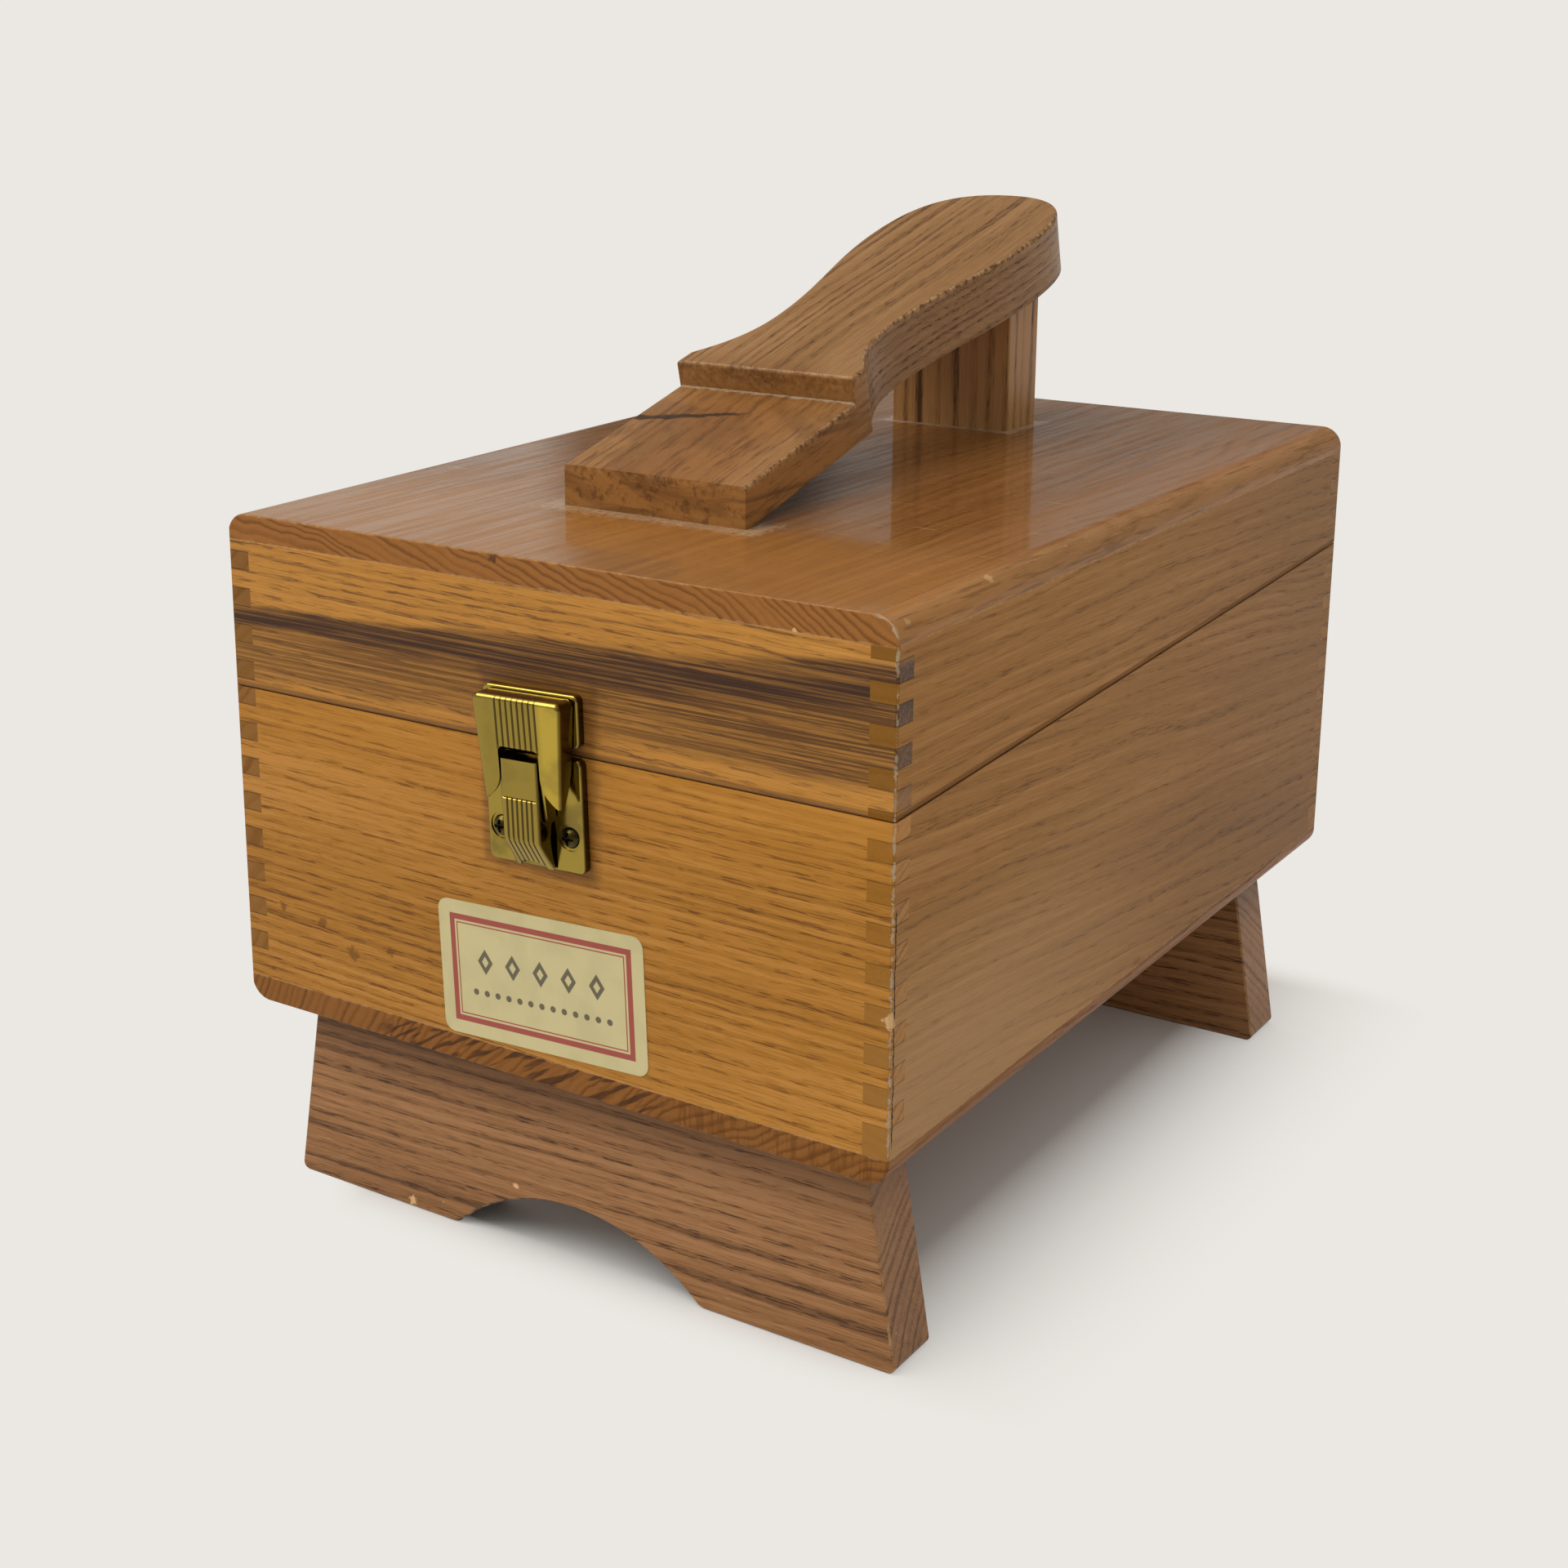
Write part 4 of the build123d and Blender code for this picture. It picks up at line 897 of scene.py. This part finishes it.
# Radius and middles of the latch screws' heads
HEAD_RADIUS = 3.1
SCREW_CENTRES = ((SCREW_LOW[0] + HEAD_RADIUS, FRONT_Y, SCREW_LOW[2] + HEAD_RADIUS),
                 (SCREW_HIGH[0] - HEAD_RADIUS, FRONT_Y, SCREW_HIGH[2] - HEAD_RADIUS))
LATCH_NODES = ("latch_base", "strike_plate", "lever_pin", "hasp_pin")
HINGE_NODES = ("left_hinge_lower_leaf", "right_hinge_lower_leaf", "left_hinge_upper_leaf",
               "right_hinge_upper_leaf", "hinge_pins")
BRASS_SCREWS = ("strike_screws", "lower_leaf_screws", "upper_leaf_screws")


# ---------------------------------------------------------------------- studio


# Half the side of the floor, in metres
FLOOR_HALF = 30.0
# The shadow fades into the plain backdrop from these edges on, over this reach, in millimetres,
# and faster by the factor on every side but the right
SHADE_EDGE = (82.0, -137.0, 175.0)
SHADE_REACH = 90.0
SHADE_FASTER = 3.5
# The key light's angle from straight down, and its turn
KEY_LEAN, KEY_TURN = math.radians(35), math.radians(-40)
# Share of the sky's light that reaches the floor
SKY_ON_FLOOR = 0.83
# Where the mirrored wall ends and the bright pane starts, in degrees left of the rear
WALL_EDGE, PANE_EDGE = (31.5, 30.0), (36.2, 38.0)
# Width of the camera's sensor, in millimetres
SENSOR_WIDTH = 36.0


def build_floor(studio):
    """A large pale floor lit by the studio, which fades into the backdrop's plain colour away
    from the box."""
    corners = FLOOR_HALF * np.array([(-1, -1, 0), (1, -1, 0), (1, 1, 0), (-1, 1, 0)])
    mesh = bpy.data.meshes.new("studio_floor")
    mesh.from_pydata(corners.tolist(), [], [(0, 1, 2, 3)])
    floor = bpy.data.objects.new("studio_floor", mesh)
    bpy.context.collection.objects.link(floor)
    material = bpy.data.materials.new("studio floor")
    s = emptied(material)
    level = studio.sky * SKY_ON_FLOOR + studio.key / math.pi * math.cos(KEY_LEAN)
    lit = s.add("ShaderNodeBsdfDiffuse", {"Color": [c / level for c in studio.backdrop]})
    plain = s.add("ShaderNodeEmission", {"Color": studio.backdrop, "Strength": 1.0})
    x, y, z = s.split(millimetres(s)[0])
    right = s.most(x - SHADE_EDGE[0], 0.0)
    left = s.most(-SHADE_EDGE[0] - x, 0.0)
    front = s.most(SHADE_EDGE[1] - y, 0.0)
    rear = s.most(y - SHADE_EDGE[2], 0.0)
    away = s.length(right, (left + front + rear) * SHADE_FASTER)
    inside = s.math("SUBTRACT", 1.0, away / SHADE_REACH, clamp=True)
    clear = 1.0 - s.math("POWER", inside, 1.9)
    path = s.outputs(s.add("ShaderNodeLightPath"))
    seen = s.most(s.most(path["Is Camera Ray"], path["Is Glossy Ray"]),
                  path["Is Transmission Ray"])
    blend = s.add("ShaderNodeMixShader", {0: clear * seen, 1: lit.outputs[0], 2: plain.outputs[0]})
    s.add("ShaderNodeOutputMaterial", {"Surface": blend.outputs[0]})
    mesh.materials.append(material)


def build_light(studio):
    """A soft sky, brighter to the rear left, and one broad key light from the front left."""
    world = bpy.data.worlds.new("studio")
    bpy.context.scene.world = world
    s = emptied(world)
    path = s.outputs(s.add("ShaderNodeLightPath"))
    seen = s.most(path["Is Camera Ray"], path["Is Transmission Ray"])
    toward = s.add("ShaderNodeTexCoord").outputs["Generated"]
    east, north, up = s.split(toward)
    window = s.dot(toward, Vector((-0.8, 0.5, 0.3)).normalized())
    glow = 0.42 + s.fade(window, 0.35, 1.0, 0.0, 0.55) + s.fade(up, 0.1, 0.9, 0.0, 0.6)
    soft = glow * studio.sky
    turn = s.math("DEGREES", s.math("ARCTAN2", east * -1.0, north))
    low_down = s.fade(up, 0.5, 0.35)
    wall = s.fade(turn, *WALL_EDGE) * studio.mirror
    pane = s.fade(turn, *PANE_EDGE) * low_down * 0.5
    overhead = s.dot(toward, Vector((-0.5, -0.3, 0.8)).normalized())
    mirrored = (0.05 + wall + pane + s.fade(up, 0.3, 0.6) * 0.12
                + s.fade(overhead, 0.88, 0.96, 0.0, 2.0))
    light = mirrored * path["Is Glossy Ray"] + soft * (1.0 - path["Is Glossy Ray"])
    strength = light * (1.0 - seen) + seen
    room = s.mix(path["Is Glossy Ray"], (1.0, 0.985, 0.965), (1.0, 0.95, 0.87))
    colour = s.mix(seen, room, studio.backdrop)
    background = s.add("ShaderNodeBackground", {"Color": colour, "Strength": strength})
    s.add("ShaderNodeOutputWorld", {"Surface": background.outputs[0]})

    key = bpy.data.lights.new("key", "SUN")
    key.energy = studio.key
    key.angle = studio.softness
    lamp = bpy.data.objects.new("key", key)
    lamp.rotation_euler = (KEY_LEAN, 0.0, KEY_TURN)
    bpy.context.collection.objects.link(lamp)


def build_camera(studio):
    """The photograph's camera."""
    turn, rise = studio.azimuth, studio.elevation
    back = Vector((math.sin(turn) * math.cos(rise), -math.cos(turn) * math.cos(rise),
                   math.sin(rise)))
    right = (-back).cross(Vector((0.0, 0.0, 1.0))).normalized()
    up = right.cross(-back)
    axes = Matrix((right, up, back)).transposed() @ Matrix.Rotation(studio.roll, 3, "Z")
    camera = bpy.data.cameras.new("camera")
    camera.lens = studio.lens
    camera.sensor_width = SENSOR_WIDTH
    camera.shift_x, camera.shift_y = studio.shift
    seat = bpy.data.objects.new("camera", camera)
    seat.matrix_world = Matrix.Translation(Vector(studio.place)) @ axes.to_4x4()
    bpy.context.collection.objects.link(seat)
    bpy.context.scene.camera = seat


# ------------------------------------------------------------------- operators


class ShoeBoxOperator(bpy.types.Operator):
    """Base of the box's operators."""
    bl_options = {"REGISTER", "UNDO"}


class SHOEBOX_OT_front_boards(ShoeBoxOperator):
    """Gives the two front boards their golden oak"""
    bl_idname = "shoebox.front_boards"
    bl_label = "Front Boards"

    def execute(self, context):
        dress_front_boards(context.scene.box_colours)
        return {"FINISHED"}


class SHOEBOX_OT_other_boards(ShoeBoxOperator):
    """Gives the side and rear boards their oak"""
    bl_idname = "shoebox.other_boards"
    bl_label = "Side and Rear Boards"

    def execute(self, context):
        dress_other_boards(context.scene.box_colours)
        return {"FINISHED"}


class SHOEBOX_OT_panels(ShoeBoxOperator):
    """Gives the top and bottom panels their oak"""
    bl_idname = "shoebox.panels"
    bl_label = "Panels"

    def execute(self, context):
        dress_top_panel(context.scene.box_colours)
        dress_bottom_panel(context.scene.box_colours)
        return {"FINISHED"}


class SHOEBOX_OT_feet(ShoeBoxOperator):
    """Gives both feet their oak"""
    bl_idname = "shoebox.feet"
    bl_label = "Feet"

    def execute(self, context):
        dress_feet(context.scene.box_colours)
        return {"FINISHED"}


class SHOEBOX_OT_foot_rest(ShoeBoxOperator):
    """Gives the foot rest and its post their oak"""
    bl_idname = "shoebox.foot_rest"
    bl_label = "Foot Rest"

    def execute(self, context):
        dress_foot_rest(context.scene.box_colours)
        return {"FINISHED"}


class SHOEBOX_OT_brass(ShoeBoxOperator):
    """Gives the latch, the hinges and their screws their brass"""
    bl_idname = "shoebox.brass"
    bl_label = "Latch and Hinges"

    def execute(self, context):
        colours = context.scene.box_colours
        dress(brass("latch plate brass", colours, 0.16, dull=1.0), *LATCH_NODES)
        dress(brass("hasp brass", colours, 0.16, HASP_FLUTES), "latch_hasp")
        dress(brass("lever brass", colours, 0.16, LEVER_FLUTES), "latch_lever")
        dress(brass("hinge brass", colours, 0.28), *HINGE_NODES)
        dress(brass("latch screw brass", colours, 0.24, recesses=SCREW_CENTRES),
              "latch_base_screws")
        dress(brass("screw brass", colours, 0.24), *BRASS_SCREWS)
        dress(screw_steel(), "foot_screws", "rest_screws")
        return {"FINISHED"}


class SHOEBOX_OT_label(ShoeBoxOperator):
    """Gives the label its foil"""
    bl_idname = "shoebox.label"
    bl_label = "Label"

    def execute(self, context):
        dress(label_foil(context.scene.box_colours), "front_label")
        return {"FINISHED"}


class SHOEBOX_OT_studio(ShoeBoxOperator):
    """Sets up the floor, the light and the camera"""
    bl_idname = "shoebox.studio"
    bl_label = "Studio"

    def execute(self, context):
        studio = context.scene.box_studio
        build_floor(studio)
        build_light(studio)
        build_camera(studio)
        context.scene.view_settings.view_transform = "Standard"
        return {"FINISHED"}


OPERATORS = (SHOEBOX_OT_front_boards, SHOEBOX_OT_other_boards, SHOEBOX_OT_panels,
             SHOEBOX_OT_feet, SHOEBOX_OT_foot_rest, SHOEBOX_OT_brass, SHOEBOX_OT_label,
             SHOEBOX_OT_studio)


class SHOEBOX_PT_sidebar(bpy.types.Panel):
    """Lists the steps of dressing the box"""
    bl_idname = "SHOEBOX_PT_sidebar"
    bl_label = "Shoe Shine Box"
    bl_space_type = "VIEW_3D"
    bl_region_type = "UI"
    bl_category = "Shoe Box"

    def draw(self, context):
        for operator in OPERATORS:
            self.layout.operator(operator.bl_idname)


CLASSES = (BoxColours, StudioSettings, *OPERATORS, SHOEBOX_PT_sidebar)


def register():
    for cls in CLASSES:
        bpy.utils.register_class(cls)
    bpy.types.Scene.box_colours = PointerProperty(type=BoxColours)
    bpy.types.Scene.box_studio = PointerProperty(type=StudioSettings)


def unregister():
    del bpy.types.Scene.box_studio
    del bpy.types.Scene.box_colours
    for cls in reversed(CLASSES):
        bpy.utils.unregister_class(cls)


def main():
    register()
    for operator in OPERATORS:
        group, name = operator.bl_idname.split(".")
        getattr(getattr(bpy.ops, group), name)()


if __name__ == "__main__":
    main()
